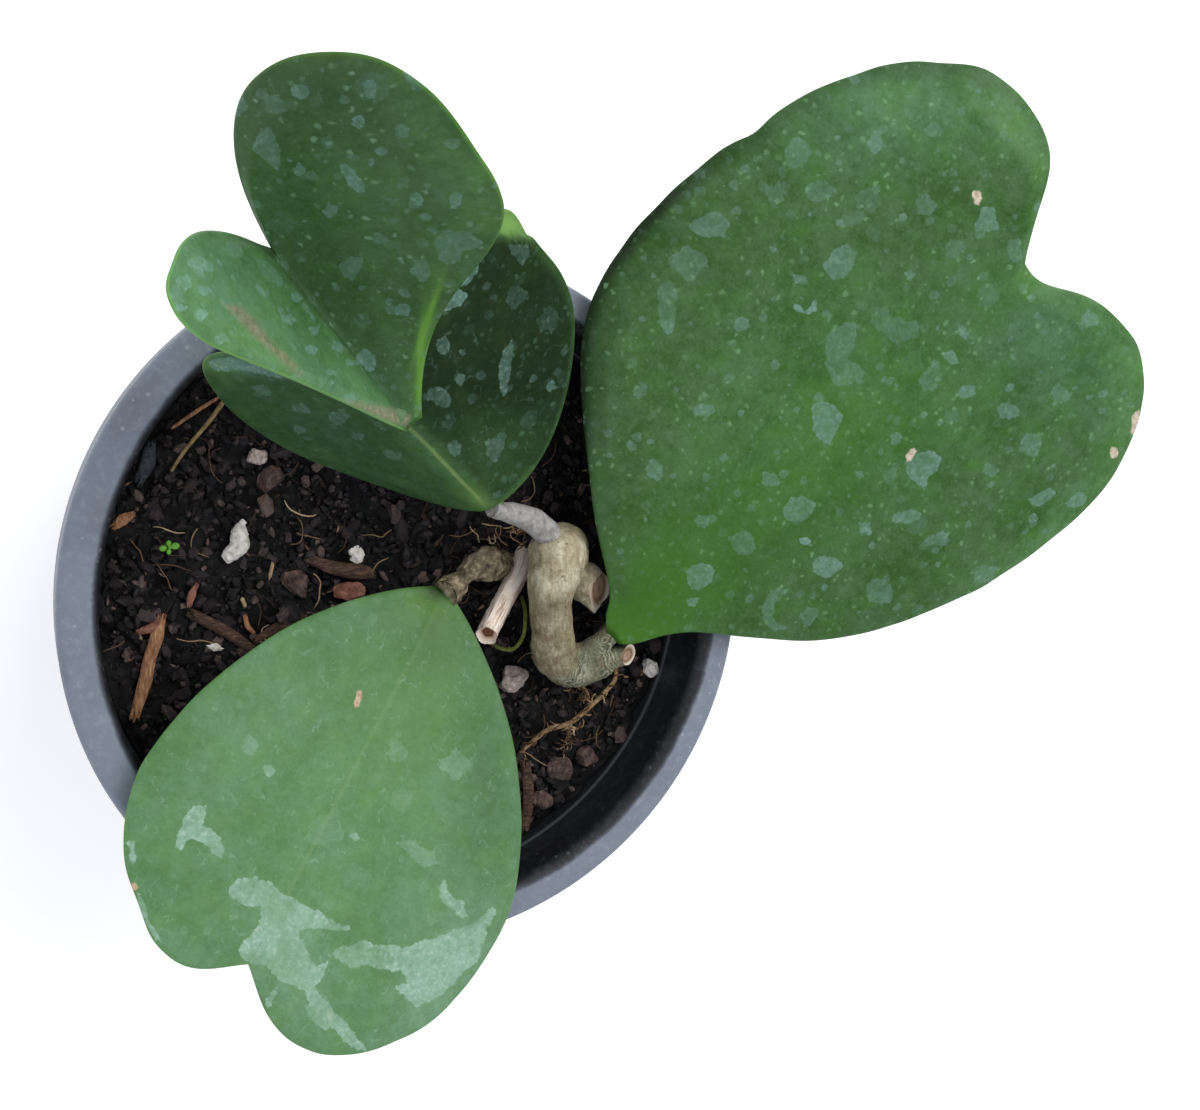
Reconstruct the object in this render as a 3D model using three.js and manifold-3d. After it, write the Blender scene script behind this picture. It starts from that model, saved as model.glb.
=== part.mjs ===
// Potted sweetheart hoya: a plastic nursery pot of potting mix with a short woody vine and
// four thick heart-shaped leaves. Millimetres, +Z up, origin at the centre of the pot's base.

import * as THREE from 'three';
import { mergeVertices } from 'three/addons/utils/BufferGeometryUtils.js';
import Module from 'manifold-3d';

const wasm = await Module();
wasm.setup();

// Driving dimensions

const POT = {
  height: 110,
  rimRadius: 65,
  baseRadius: 46,
  wall: 1.6,
  floor: 2.2,
  rimWidth: 7.4,
  rimPlate: 2.4,
  skirt: 12,
  skirtWall: 1.4,
  collar: 15,
  segments: 48,
  drainHoles: 6,
  drainRadius: 4.5,
  drainCircle: 33
};
const SOIL = { level: 95, rings: 9, longWave: 0.9, ripple: 0.5 };
const GAP = 0.3;

// The blades' thickness, and the share of it left near and on the margin. neck is half the width
// at the base, and spokePower crowds the spokes along the midrib towards the base.
const BLADE = { thickness: 2.6, nearMargin: 0.92, margin: 0.4, neck: 2, spokePower: 0.75 };

// Leaves. base is where the blade starts, heading and pitch give the midrib's direction, roll
// turns the blade about it. midrib runs from the base to the notch. rise lifts the notch, twist
// lifts one lobe against the other. Each half: greatest width and how far along it comes, the
// lobe's crown out from and along the midrib, the margin's angle at the base and in the notch,
// fold (down, away from the midrib), cup (lift half a midrib out) and how full each stretch is.

const LEAVES = {
  leaf_right: {
    base: [36.5, -8.5, 111.5], heading: 45, pitch: 13, roll: -2,
    midrib: 105, rise: 7.5, twist: 3.5, foldRadius: 3,
    left: { width: 54, widest: 65.5, crownOut: 23.5, crownAlong: 123, baseAngle: 54, notchAngle: 46,
      fold: 0, cup: -7, full: [0.65, 0.45, 0.6, 0.7, 0.85] },
    right: { width: 53, widest: 82.5, crownOut: 26.5, crownAlong: 113, baseAngle: 33, notchAngle: 100,
      fold: 0, cup: -4, full: [0.3, 0.65, 0.5, 0.65, 1.15] }
  },
  leaf_front: {
    base: [4.5, 1.5, 106.5], heading: 236, pitch: 13, roll: -3,
    midrib: 75, rise: -2.5, twist: -1, foldRadius: 3,
    left: { width: 40.5, widest: 50.5, crownOut: 17.5, crownAlong: 83.5, baseAngle: 63, notchAngle: 50,
      fold: 0, cup: -0.5, full: [0.4, 0.35, 0.5, 0.55, 0.75] },
    right: { width: 33, widest: 52.5, crownOut: 11, crownAlong: 79.5, baseAngle: 59, notchAngle: 64,
      fold: 0, cup: -0.5, full: [0.35, 0.35, 0.45, 0.45, 0.7] }
  },
  leaf_upper: {
    base: [-10, 34, 135.5], heading: 133, pitch: 17, roll: 8,
    midrib: 39.5, rise: 2, twist: 3.5, foldRadius: 2.5,
    left: { width: 34, widest: 48, crownOut: 22.5, crownAlong: 53.5, baseAngle: 31, notchAngle: 29,
      fold: -62, cup: -1.5, full: [0.75, 0.15, 0.65, 0.55, 0.45] },
    right: { width: 34, widest: 43.5, crownOut: 19, crownAlong: 65.5, baseAngle: 31, notchAngle: 8,
      fold: -39, cup: 3, full: [0.65, 0.5, 0.65, 0.45, 0.7] }
  },
  leaf_under: {
    base: [10, 17.5, 116.5], heading: 135, pitch: 20, roll: 43,
    midrib: 34.5, rise: 3.5, twist: -4, foldRadius: 2.5,
    left: { width: 35, widest: 30.5, crownOut: 20, crownAlong: 56.5, baseAngle: 96, notchAngle: 30,
      fold: 37, cup: 2, full: [0.35, 0.55, 0.55, 0.5, 0.6] },
    right: { width: 35, widest: 29.5, crownOut: 19.5, crownAlong: 55, baseAngle: 98, notchAngle: 30,
      fold: 35, cup: -0.5, full: [0.35, 0.55, 0.55, 0.5, 0.6] }
  }
};

// Stems. Each row of a path is x, y, z and radius at that place.

const WOODY_PATH = [
  [36.6, 5.8, 74, 4.2], [33.8, 6.2, 90, 4.6], [30.4, 7.4, 101, 5.4], [27.2, 7.4, 107.6, 5.9],
  [25.5, 2.8, 109, 4.8], [25.3, -1.8, 108.5, 4.4], [25.9, -7.6, 107.5, 4.5], [27.7, -12.8, 106, 4.6],
  [31, -15.2, 105.8, 4.2], [34.7, -14.7, 106.8, 3.2], [38, -13.2, 107.7, 2.3], [41.3, -12.8, 108.4, 2]
];
const SIDE_STUB_PATH = [
  [28.6, 4.8, 105.4, 3.3], [31.2, 2.8, 106.2, 3.4], [33.6, 0.9, 106.9, 3.4], [35.6, -0.8, 107.3, 3.2]
];
const YOUNG_PATH = [
  [27.8, 7.4, 105.6, 2.4], [24.8, 11.2, 109.4, 3.1], [22.2, 12.9, 110.5, 3], [19.2, 14.9, 111.3, 2.8],
  [16.4, 16, 112.3, 2.3], [13.8, 16.7, 113.6, 1.8], [11, 17.5, 115.1, 1.6]
];
const DRY_PATH = [[29, 13.4, 84, 2], [23.4, 3.8, 96.8, 2.1], [17.9, -2, 102, 2.1], [12.7, -7.6, 106.5, 2.2]];
const ROUGH_PATH = [
  [22.2, 3.2, 86, 2.2], [20.6, 4, 94, 2.4], [17.8, 5, 98.6, 2.9], [14.5, 5.6, 101.2, 3.2],
  [11.6, 4.9, 102.4, 2.7], [9, 3.5, 104, 1.9], [6.8, 2, 105.4, 2.6], [4.6, 1, 107, 2.7]
];
const RIGHT_PETIOLE = [
  [32, -13.4, 106.4, 3.3], [34.4, -11.6, 107.8, 2.9], [36.4, -9.2, 109.2, 2.2], [38.6, -6.4, 109.8, 1.6]
];
const UPPER_PETIOLE = [
  [12.4, 17.6, 114.6, 1.3], [11.2, 21.4, 112.8, 1.6], [4.6, 27.2, 116, 1.5], [-2, 33.5, 120.4, 1.5],
  [-9.1, 39.1, 124.9, 1.5], [-14, 42.5, 128.2, 1.5], [-18, 42.9, 131.9, 1.5], [-19, 41, 134.8, 1.6],
  [-16.6, 37.8, 136, 1.7], [-12, 35.2, 136, 1.6]
];

// What lies in the mix: x, y, how far the middle stands above the mix, half sizes along, across
// and up, and the turn about the upright.

const LOOSE_PIECES = {
  perlite_1: { at: [-31.8, 11.2, 1.4], half: [2, 2.9, 2.2], turn: -20, colour: 0xd9d2c6 },
  perlite_2: { at: [-9.4, 8, 0.6], half: [1.4, 1.5, 1.3], turn: 30, colour: 0xcfc5b4 },
  perlite_3: { at: [21.9, -18.5, 1.3], half: [2.5, 2.3, 2], turn: 10, colour: 0xb9a39a },
  perlite_4: { at: [52.2, -18.6, 1], half: [1.5, 1.8, 1.5], turn: 0, colour: 0xcdbfae },
  stone_1: { at: [-27.7, 27, 0.6], half: [1.6, 1.4, 1.2], turn: 15, colour: 0xb7a48c },
  bark_1: { at: [-25.9, 22.4, 0.7], half: [2.6, 2.1, 1.5], turn: 40, colour: 0x4c3b36 },
  bark_2: { at: [-21, 2.9, 0.7], half: [2.8, 2.3, 1.4], turn: -35, colour: 0x5c4a45 },
  bark_3: { at: [32.1, -37.8, 0.8], half: [2.2, 3, 1.6], turn: 20, colour: 0x4f3834 },
  bark_4: { at: [38.2, -36.4, 0.8], half: [2.3, 1.9, 1.6], turn: -20, colour: 0x5a4640 },
  bark_5: { at: [27.7, -44, 0.7], half: [1.9, 2.6, 1.4], turn: 60, colour: 0x4a3531 },
  bark_6: { at: [-10.4, 0.9, 0.8], half: [3.2, 1.7, 0.9], turn: 4, colour: 0x7a4a3c },
  wood_stick: { at: [-12.4, 5, 0.4], half: [5.4, 1.1, 0.9], turn: -10, colour: 0x4a372c },
  wood_sliver: { at: [-49, -10.8, 0.9], half: [9.2, 1.1, 0.8], turn: 76, colour: 0xa2714e },
  dark_sliver: { at: [-47.6, 26.2, 0.9], half: [3.4, 1.5, 0.9], turn: 68, colour: 0x46413c }
};
const STRAW_PATH = [
  [-32.4, 38.6, 96.4, 0.7], [-36, 34, 97.6, 0.6], [-40.7, 28.4, 97, 0.6], [-43, 24.6, 95.4, 0.6]
];
const ROOT_PATHS = [
  [[23.4, -35, 94, 0.7], [25.6, -31.8, 96.6, 0.7], [29.1, -29.3, 97.2, 0.7], [33.7, -28.4, 97.2, 0.8],
    [38.1, -25.2, 97.6, 0.8], [41, -22.5, 98.2, 0.8], [43.4, -20, 98, 0.7], [44.6, -17, 95.6, 0.7]],
  [[33.7, -28.4, 97.2, 0.6], [33.4, -31.6, 96.8, 0.6], [32.6, -34, 95.2, 0.6]],
  [[38.1, -25.2, 97.6, 0.6], [37, -21.8, 97.6, 0.6], [34.4, -20, 95.6, 0.6]]
];
const TENDRIL_PATH = [
  [17.6, -10.2, 94, 0.4], [18.6, -11.8, 97.4, 0.4], [21.2, -12, 98.6, 0.4], [23, -9.4, 99.4, 0.4],
  [23.6, -6.4, 99, 0.4], [24.2, -4.2, 97, 0.4], [24.6, -2.4, 94.2, 0.4]
];
const SEEDLING = {
  at: [-44.6, 11.4], height: 5, depth: 4, stalk: 0.5,
  leafLength: 2.2, leafWidth: 1.7, leafThick: 0.5, leaves: 4
};
const CRUMBS = { count: 44, smallest: 1.3, largest: 2.9, flat: 0.6, reach: 53, seed: 11 };

// Solids

function clean(geometry) {
  const bare = new THREE.BufferGeometry();
  bare.setAttribute('position', geometry.getAttribute('position'));
  if (geometry.index) bare.setIndex(geometry.index);
  const welded = mergeVertices(bare, 1e-4);
  const kept = [];
  const index = welded.index.array;
  for (let i = 0; i < index.length; i += 3) {
    const [a, b, c] = [index[i], index[i + 1], index[i + 2]];
    if (a !== b && b !== c && c !== a) kept.push(a, b, c);
  }
  welded.setIndex(kept);
  return welded;
}

function toSolid(geometry) {
  const welded = clean(geometry);
  const solid = new wasm.Manifold(new wasm.Mesh({
    numProp: 3,
    vertProperties: new Float32Array(welded.getAttribute('position').array),
    triVerts: new Uint32Array(welded.index.array)
  }));
  return solid.volume() < 0 ? toSolid(flipped(welded)) : solid;
}

function flipped(geometry) {
  const index = Array.from(geometry.index.array);
  for (let i = 0; i < index.length; i += 3) [index[i], index[i + 1]] = [index[i + 1], index[i]];
  geometry.setIndex(index);
  return geometry;
}

// The largest body of a solid, without the loose scraps that a cut can leave
function wholeBody(solid) {
  return solid.decompose().reduce((best, next) => (next.volume() > best.volume() ? next : best));
}

function toGeometry(solid) {
  const mesh = wholeBody(solid).getMesh();
  const geometry = new THREE.BufferGeometry();
  geometry.setAttribute('position', new THREE.BufferAttribute(new Float32Array(mesh.vertProperties), 3));
  geometry.setIndex(Array.from(mesh.triVerts));
  return geometry;
}

// Seeded random numbers, so that every build is alike
function randomFrom(seed) {
  let state = seed;
  return () => {
    state = (state * 1664525 + 1013904223) % 4294967296;
    return state / 4294967296;
  };
}

// Round limb along a smooth path through rows of x, y, z, radius, closed with flat ends.
// swell(along, around) scales the radius, grow widens it and dish sinks the far end.
function limb(path, { sides = 10, steps = 4, grow = 0, dish = 0, swell = () => 1 } = {}) {
  const knots = path.map(([x, y, z]) => new THREE.Vector3(x, y, z));
  const curve = new THREE.CatmullRomCurve3(knots, false, 'centripetal');
  const spans = path.length - 1;
  const rings = spans * steps;
  const positions = [];
  const tangents = [];
  for (let i = 0; i <= rings; i++) tangents.push(curve.getTangent(i / rings));
  let across = new THREE.Vector3(0.3, 0.2, 1).cross(tangents[0]).normalize();
  for (let i = 0; i <= rings; i++) {
    const t = i / rings;
    const tangent = tangents[i];
    across = across.sub(tangent.clone().multiplyScalar(across.dot(tangent))).normalize();
    const other = tangent.clone().cross(across);
    const centre = curve.getPoint(t);
    const span = Math.min(Math.floor(t * spans), spans - 1);
    const radius = THREE.MathUtils.lerp(path[span][3], path[span + 1][3], t * spans - span);
    for (let j = 0; j < sides; j++) {
      const angle = (2 * Math.PI * j) / sides;
      const reach = radius * swell(t, angle) + grow;
      const point = centre.clone()
        .addScaledVector(across, reach * Math.cos(angle))
        .addScaledVector(other, reach * Math.sin(angle));
      positions.push(point.x, point.y, point.z);
    }
  }
  const ends = [
    curve.getPoint(0).addScaledVector(tangents[0], -grow),
    curve.getPoint(1).addScaledVector(tangents[rings], grow - dish)
  ];
  ends.forEach((end) => positions.push(end.x, end.y, end.z));
  const first = (rings + 1) * sides;
  const index = [];
  for (let i = 0; i < rings; i++) {
    for (let j = 0; j < sides; j++) {
      const k = (j + 1) % sides;
      const [a, b, c, d] = [i * sides + j, i * sides + k, (i + 1) * sides + k, (i + 1) * sides + j];
      index.push(a, b, c, a, c, d);
    }
  }
  for (let j = 0; j < sides; j++) {
    const k = (j + 1) % sides;
    index.push(first, k, j, first + 1, rings * sides + j, rings * sides + k);
  }
  const geometry = new THREE.BufferGeometry();
  geometry.setAttribute('position', new THREE.Float32BufferAttribute(positions, 3));
  geometry.setIndex(index);
  return toSolid(geometry);
}

// Pot: one lathed wall with a hanging rim skirt and a rolled inner edge, drained through its floor
function potProfile() {
  const { height, rimRadius, baseRadius, wall, floor, rimWidth, rimPlate, skirt, skirtWall, collar } = POT;
  const inner = rimRadius - rimWidth;
  const lip = rimRadius - 0.5;
  return [
    [0, 0], [baseRadius, 0], [inner + wall, height - collar], [inner + wall + 0.3, height - rimPlate],
    [lip - skirtWall + 0.2, height - rimPlate], [lip - skirtWall, height - skirt], [lip, height - skirt],
    [rimRadius, height - 1.6], [lip, height - 0.5], [rimRadius - 1.5, height],
    [inner + 2, height], [inner + 1, height - 0.7], [inner + 0.3, height - 2.2],
    [inner, SOIL.level], [baseRadius - wall + 0.2, floor], [0, floor]
  ];
}

function makePot() {
  const points = potProfile().map(([radius, z]) => new THREE.Vector2(radius, z));
  const shell = new THREE.LatheGeometry(points, POT.segments).rotateX(Math.PI / 2);
  let solid = toSolid(shell);
  for (let i = 0; i < POT.drainHoles; i++) {
    const hole = new THREE.CylinderGeometry(POT.drainRadius, POT.drainRadius, 10, 12).rotateX(Math.PI / 2);
    const angle = (2 * Math.PI * (i + 0.5)) / POT.drainHoles;
    hole.translate(POT.drainCircle * Math.cos(angle), POT.drainCircle * Math.sin(angle), 0);
    solid = solid.subtract(toSolid(hole));
  }
  return solid;
}

// Height of the mix: long waves and a low ripple
function soilHeight(x, y) {
  const waves = SOIL.longWave * Math.sin(x / 9 + 1) * Math.cos(y / 8);
  return SOIL.level + waves + SOIL.ripple * Math.sin((x + 2 * y) / 5);
}

// Mix: a filled body a gap inside the pot's wall, with a waved top. The top's edge lies level,
// just under the wall's bend, and its facets turn with the pot's.
function makeSoil(holes) {
  const rings = SOIL.rings;
  const chordSlack = 0.05;
  const inner = POT.rimRadius - POT.rimWidth - GAP - chordSlack;
  const low = POT.baseRadius - POT.wall + 0.2 - GAP;
  const edgeHeight = SOIL.level - 0.2;
  const positions = [0, 0, soilHeight(0, 0)];
  for (let i = 1; i <= rings; i++) {
    for (let j = 0; j < POT.segments; j++) {
      const angle = (2 * Math.PI * j) / POT.segments;
      const [x, y] = [(inner * i * Math.sin(angle)) / rings, (-inner * i * Math.cos(angle)) / rings];
      positions.push(x, y, i === rings ? edgeHeight : soilHeight(x, y));
    }
  }
  for (let j = 0; j < POT.segments; j++) {
    const angle = (2 * Math.PI * j) / POT.segments;
    positions.push(low * Math.sin(angle), -low * Math.cos(angle), POT.floor + GAP);
  }
  positions.push(0, 0, POT.floor + GAP);
  const index = [];
  const at = (ring, j) => 1 + (ring - 1) * POT.segments + (j % POT.segments);
  for (let j = 0; j < POT.segments; j++) {
    index.push(0, at(1, j), at(1, j + 1));
    for (let i = 1; i <= rings; i++) {
      index.push(at(i, j), at(i + 1, j), at(i + 1, j + 1), at(i, j), at(i + 1, j + 1), at(i, j + 1));
    }
    index.push(at(rings + 1, j), positions.length / 3 - 1, at(rings + 1, j + 1));
  }
  const geometry = new THREE.BufferGeometry();
  geometry.setAttribute('position', new THREE.Float32BufferAttribute(positions, 3));
  geometry.setIndex(index);
  let solid = toSolid(geometry);
  for (const crumb of makeCrumbs()) solid = solid.add(crumb);
  for (const hole of holes) solid = solid.subtract(hole);
  return solid;
}

// Coarse husk and bark crumbs, sunk by half in the mix
function makeCrumbs() {
  const random = randomFrom(CRUMBS.seed);
  const crumbs = [];
  for (let i = 0; i < CRUMBS.count; i++) {
    const radius = CRUMBS.reach * Math.sqrt(random());
    const angle = 2 * Math.PI * random();
    const size = CRUMBS.smallest + (CRUMBS.largest - CRUMBS.smallest) * random() ** 2;
    const [x, y] = [radius * Math.cos(angle), radius * Math.sin(angle)];
    const crumb = new THREE.OctahedronGeometry(1, 0)
      .scale(size, size * THREE.MathUtils.lerp(CRUMBS.flat, 1, random()), size * CRUMBS.flat)
      .rotateX(random())
      .rotateZ(6 * random())
      .translate(x, y, soilHeight(x, y) + 0.1);
    crumbs.push(toSolid(crumb));
  }
  return crumbs;
}

// A worn lump, chip or sliver. grow widens it to make its socket in the mix.
function loosePiece(spec, seed, grow = 0) {
  const random = randomFrom(seed);
  const lump = new THREE.IcosahedronGeometry(1, 1);
  const welded = clean(lump);
  const position = welded.getAttribute('position');
  for (let i = 0; i < position.count; i++) {
    const dent = 0.86 + 0.28 * random();
    const point = new THREE.Vector3().fromBufferAttribute(position, i).normalize();
    const box = Math.max(Math.abs(point.x), Math.abs(point.y), Math.abs(point.z));
    point.multiplyScalar(dent / Math.pow(box, 0.35));
    const widened = (v) => Math.sign(v) * grow * Math.min(1, Math.abs(v) * 2);
    const [x, y, z] = point.toArray().map((v, k) => v * spec.half[k] + widened(v));
    position.setXYZ(i, x, y, z);
  }
  welded.rotateZ(THREE.MathUtils.degToRad(spec.turn));
  welded.translate(spec.at[0], spec.at[1], soilHeight(spec.at[0], spec.at[1]) + spec.at[2]);
  return toSolid(welded);
}

// Leaf outline, one half: three cubic curves through the widest place, the crown and the notch
function halfOutline(half, midrib, count) {
  const rad = THREE.MathUtils.degToRad;
  const { width, widest, crownOut, crownAlong, full } = half;
  const lead = full[0] * Math.hypot(width - BLADE.neck, widest);
  const into = full[4] * (crownAlong - midrib);
  const [base, notch] = [rad(half.baseAngle), rad(half.notchAngle)];
  const curves = [
    [[BLADE.neck, 0], [BLADE.neck + lead * Math.sin(base), lead * Math.cos(base)],
      [width, widest * (1 - full[1])], [width, widest]],
    [[width, widest], [width, widest + full[2] * (crownAlong - widest)],
      [crownOut + full[2] * (width - crownOut), crownAlong], [crownOut, crownAlong]],
    [[crownOut, crownAlong], [crownOut * (1 - full[3]), crownAlong],
      [into * Math.sin(notch), midrib + into * Math.cos(notch)], [0, midrib]]
  ].map((knots) => new THREE.CubicBezierCurve(...knots.map(([x, y]) => new THREE.Vector2(x, y))));
  const points = [];
  curves.forEach((curve, c) => {
    for (let i = c === 0 ? 0 : 1; i <= count; i++) points.push(curve.getPoint(i / count));
  });
  return points;
}

// Place on the leaf's middle surface. x is out from the midrib, y along it.
function leafPoint(leaf, x, y) {
  const rad = THREE.MathUtils.degToRad;
  const half = x > 0 ? leaf.right : leaf.left;
  const fold = rad(half.fold);
  const away = Math.hypot(x, leaf.foldRadius) - leaf.foldRadius;
  const u = y / leaf.midrib;
  const lift = leaf.rise * u * u + (leaf.twist * x * u) / leaf.midrib + half.cup * (2 * x / leaf.midrib) ** 2;
  const local = [Math.sign(x) * (Math.abs(x) - away * (1 - Math.cos(fold))), y, lift - Math.sin(fold) * away];
  const [heading, pitch, roll] = [rad(leaf.heading), rad(leaf.pitch), rad(leaf.roll)];
  const level = new THREE.Vector3(Math.sin(heading), -Math.cos(heading), 0);
  const along = new THREE.Vector3(Math.cos(heading), Math.sin(heading), 0)
    .multiplyScalar(Math.cos(pitch))
    .setZ(Math.sin(pitch));
  const upright = level.clone().cross(along);
  const out = level.clone().multiplyScalar(Math.cos(roll)).addScaledVector(upright, Math.sin(roll));
  const up = upright.multiplyScalar(Math.cos(roll)).addScaledVector(level, -Math.sin(roll));
  return new THREE.Vector3(...leaf.base)
    .addScaledVector(out, local[0])
    .addScaledVector(along, local[1])
    .addScaledVector(up, local[2]);
}

function leafNormal(leaf, x, y) {
  const step = 0.2;
  const dx = leafPoint(leaf, x + step, y).sub(leafPoint(leaf, x - step, y));
  const dy = leafPoint(leaf, x, y + step).sub(leafPoint(leaf, x, y - step));
  return dx.cross(dy).normalize();
}

// Blade: spokes from the midrib to the margin, thick in the middle and rounded at the margin
function makeBlade(leaf, { count = 8, across = [0, 0.28, 0.55, 0.8, 0.95, 1] } = {}) {
  const halves = [leaf.left, leaf.right].map((half) => halfOutline(half, leaf.midrib, count));
  const rows = halves[0].length;
  const columns = [...across.slice(1).reverse().map((v) => -v), ...across];
  const [onMargin, nearMargin] = across.slice(-2).reverse();
  const edge = (v) => (v >= onMargin ? BLADE.margin : v >= nearMargin ? BLADE.nearMargin : 1);
  const positions = [];
  for (const side of [1, -1]) {
    for (let i = 0; i < rows; i++) {
      const along = leaf.midrib * (i / (rows - 1)) ** BLADE.spokePower;
      const thickest = i === rows - 1 ? BLADE.margin : 1;
      for (const v of columns) {
        const margin = halves[v > 0 ? 1 : 0][i];
        const [x, y] = [v * margin.x, along + Math.abs(v) * (margin.y - along)];
        const half = (Math.min(edge(Math.abs(v)), thickest) * BLADE.thickness) / 2;
        const point = leafPoint(leaf, x, y).addScaledVector(leafNormal(leaf, x, y), side * half);
        positions.push(point.x, point.y, point.z);
      }
    }
  }
  const wide = columns.length;
  const under = rows * wide;
  const index = [];
  const quad = (a, b, c, d) => index.push(a, b, c, a, c, d);
  for (let i = 0; i < rows - 1; i++) {
    for (let j = 0; j < wide - 1; j++) {
      const a = i * wide + j;
      const b = under + a;
      quad(a, a + 1, a + wide + 1, a + wide);
      index.push(b, b + wide + 1, b + 1, b, b + wide, b + wide + 1);
    }
    const [left, right] = [i * wide, i * wide + wide - 1];
    quad(left, left + wide, under + left + wide, under + left);
    quad(right + wide, right, under + right, under + right + wide);
  }
  for (let j = 0; j < wide - 1; j++) quad(j + 1, j, under + j, under + j + 1);
  const geometry = new THREE.BufferGeometry();
  geometry.setAttribute('position', new THREE.Float32BufferAttribute(positions, 3));
  geometry.setIndex(index);
  return toSolid(geometry);
}

// Stems. The swells are low waves along (t) and around (angle) a limb.

const bark = (t, angle) => 1 + 0.05 * Math.sin(23 * t + 2 * angle) + 0.04 * Math.sin(3 * angle + 9 * t);
const knuckles = (t, angle) => 1 + 0.09 * Math.sin(21 * t) + 0.1 * Math.sin(2 * angle + 13 * t);
const ribs = (t, angle) => 1 + 0.06 * Math.cos(5 * angle);

const woodyStem = (grow = 0) => limb(WOODY_PATH, { sides: 12, steps: 3, grow, swell: bark })
  .add(limb(SIDE_STUB_PATH, { sides: 10, steps: 3, grow, dish: grow ? 0 : 0.5, swell: bark }))
  .add(limb(RIGHT_PETIOLE, { sides: 10, steps: 2, grow }));
const youngStem = (grow = 0) => limb(YOUNG_PATH, { sides: 10, steps: 3, grow });
const dryStub = (grow = 0) => limb(DRY_PATH, { sides: 10, steps: 3, grow, dish: grow ? 0 : 2, swell: ribs });
const roughPetiole = (grow = 0) => limb(ROUGH_PATH, { sides: 9, steps: 3, grow, swell: knuckles });
const straw = (grow = 0) => limb(STRAW_PATH, { sides: 6, steps: 3, grow });
const tendril = (grow = 0) => limb(TENDRIL_PATH, { sides: 6, steps: 3, grow });
const surfaceRoot = (grow = 0) => ROOT_PATHS
  .map((path) => limb(path, { sides: 6, steps: 2, grow }))
  .reduce((joined, next) => joined.add(next));

// Seedling: a thin stalk with a few round seed leaves
function seedling(grow = 0) {
  const [x, y] = SEEDLING.at;
  const ground = soilHeight(x, y);
  const top = ground + SEEDLING.height;
  const stalk = [[x, y, ground - SEEDLING.depth, SEEDLING.stalk], [x, y, top, SEEDLING.stalk]];
  let solid = limb(stalk, { sides: 6, steps: 1, grow });
  for (let i = 0; i < SEEDLING.leaves; i++) {
    const leaf = new THREE.SphereGeometry(1, 8, 4)
      .scale(SEEDLING.leafLength, SEEDLING.leafWidth, SEEDLING.leafThick)
      .translate(SEEDLING.leafLength * 0.8, 0, 0)
      .rotateY(-0.3)
      .rotateZ((2 * Math.PI * i) / SEEDLING.leaves + 0.4)
      .translate(x, y, top);
    solid = solid.add(toSolid(leaf));
  }
  return solid;
}

// Assembly

const object = new THREE.Group();

function addNode(name, solid, colour, roughness, metalness = 0) {
  const material = new THREE.MeshStandardMaterial({ color: colour, roughness, metalness });
  const mesh = new THREE.Mesh(toGeometry(solid), material);
  mesh.name = name;
  object.add(mesh);
}

const pieces = Object.entries(LOOSE_PIECES);
const pieceSeed = (i) => i + 3;
const sockets = pieces.map(([, spec], i) => loosePiece(spec, pieceSeed(i), GAP));
const holes = [woodyStem(GAP), dryStub(GAP), roughPetiole(GAP), straw(GAP), tendril(GAP), surfaceRoot(GAP),
  seedling(GAP), ...sockets];

addNode('pot', makePot(), 0x53565e, 0.5);
addNode('soil', makeSoil(holes), 0x2b2420, 0.95);
addNode('woody_stem', woodyStem(), 0x9b9370, 0.75);
addNode('young_stem', youngStem().subtract(woodyStem(GAP)), 0xb5b0ab, 0.7);
addNode('dry_stub', dryStub().subtract(woodyStem(GAP)), 0xc2a488, 0.85);
addNode('rough_petiole', roughPetiole().subtract(dryStub(GAP)).subtract(woodyStem(GAP)), 0x8a7a58, 0.85);
addNode('leaf_right', makeBlade(LEAVES.leaf_right, { count: 9 }).subtract(woodyStem(GAP)), 0x3d6f34, 0.4);
addNode('leaf_front', makeBlade(LEAVES.leaf_front).subtract(roughPetiole(GAP)), 0x5b9157, 0.4);
addNode('leaf_upper', makeBlade(LEAVES.leaf_upper).add(limb(UPPER_PETIOLE, { sides: 8, steps: 2 }))
  .subtract(youngStem(GAP)), 0x3f7138, 0.4);
addNode('leaf_under', makeBlade(LEAVES.leaf_under).subtract(youngStem(GAP)), 0x2f5a2c, 0.4);
addNode('surface_root', surfaceRoot(), 0xa88a5c, 0.85);
addNode('tendril', tendril().subtract(woodyStem(GAP)), 0x8c8b4a, 0.8);
addNode('straw', straw(), 0x9c8356, 0.85);
addNode('seedling', seedling(), 0x5cb03c, 0.6);
pieces.forEach(([name, spec], i) => addNode(name, loosePiece(spec, pieceSeed(i)), spec.colour, 0.9));

export default object;
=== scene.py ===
"""Potted sweetheart hoya: a plastic nursery pot of potting mix, a short woody vine and four waxy
heart-shaped leaves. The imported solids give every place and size, and this file gives the finish."""

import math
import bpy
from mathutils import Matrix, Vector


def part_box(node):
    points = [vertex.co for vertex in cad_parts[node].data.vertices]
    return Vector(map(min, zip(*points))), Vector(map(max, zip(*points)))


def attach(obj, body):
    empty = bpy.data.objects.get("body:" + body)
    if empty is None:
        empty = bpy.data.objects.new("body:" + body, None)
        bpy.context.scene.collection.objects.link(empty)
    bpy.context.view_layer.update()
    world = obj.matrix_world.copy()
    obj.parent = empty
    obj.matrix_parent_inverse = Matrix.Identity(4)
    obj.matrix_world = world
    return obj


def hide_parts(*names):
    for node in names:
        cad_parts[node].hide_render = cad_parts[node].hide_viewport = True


bl_info = {
    "name": "Potted Sweetheart Hoya",
    "version": (1, 0, 0),
    "blender": (4, 5, 0),
    "location": "View3D > Sidebar > Hoya",
    "description": "Builds the leaves, stems, potting mix and pot of a young sweetheart hoya",
    "category": "Object",
}

from functools import partial
from itertools import combinations

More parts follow.
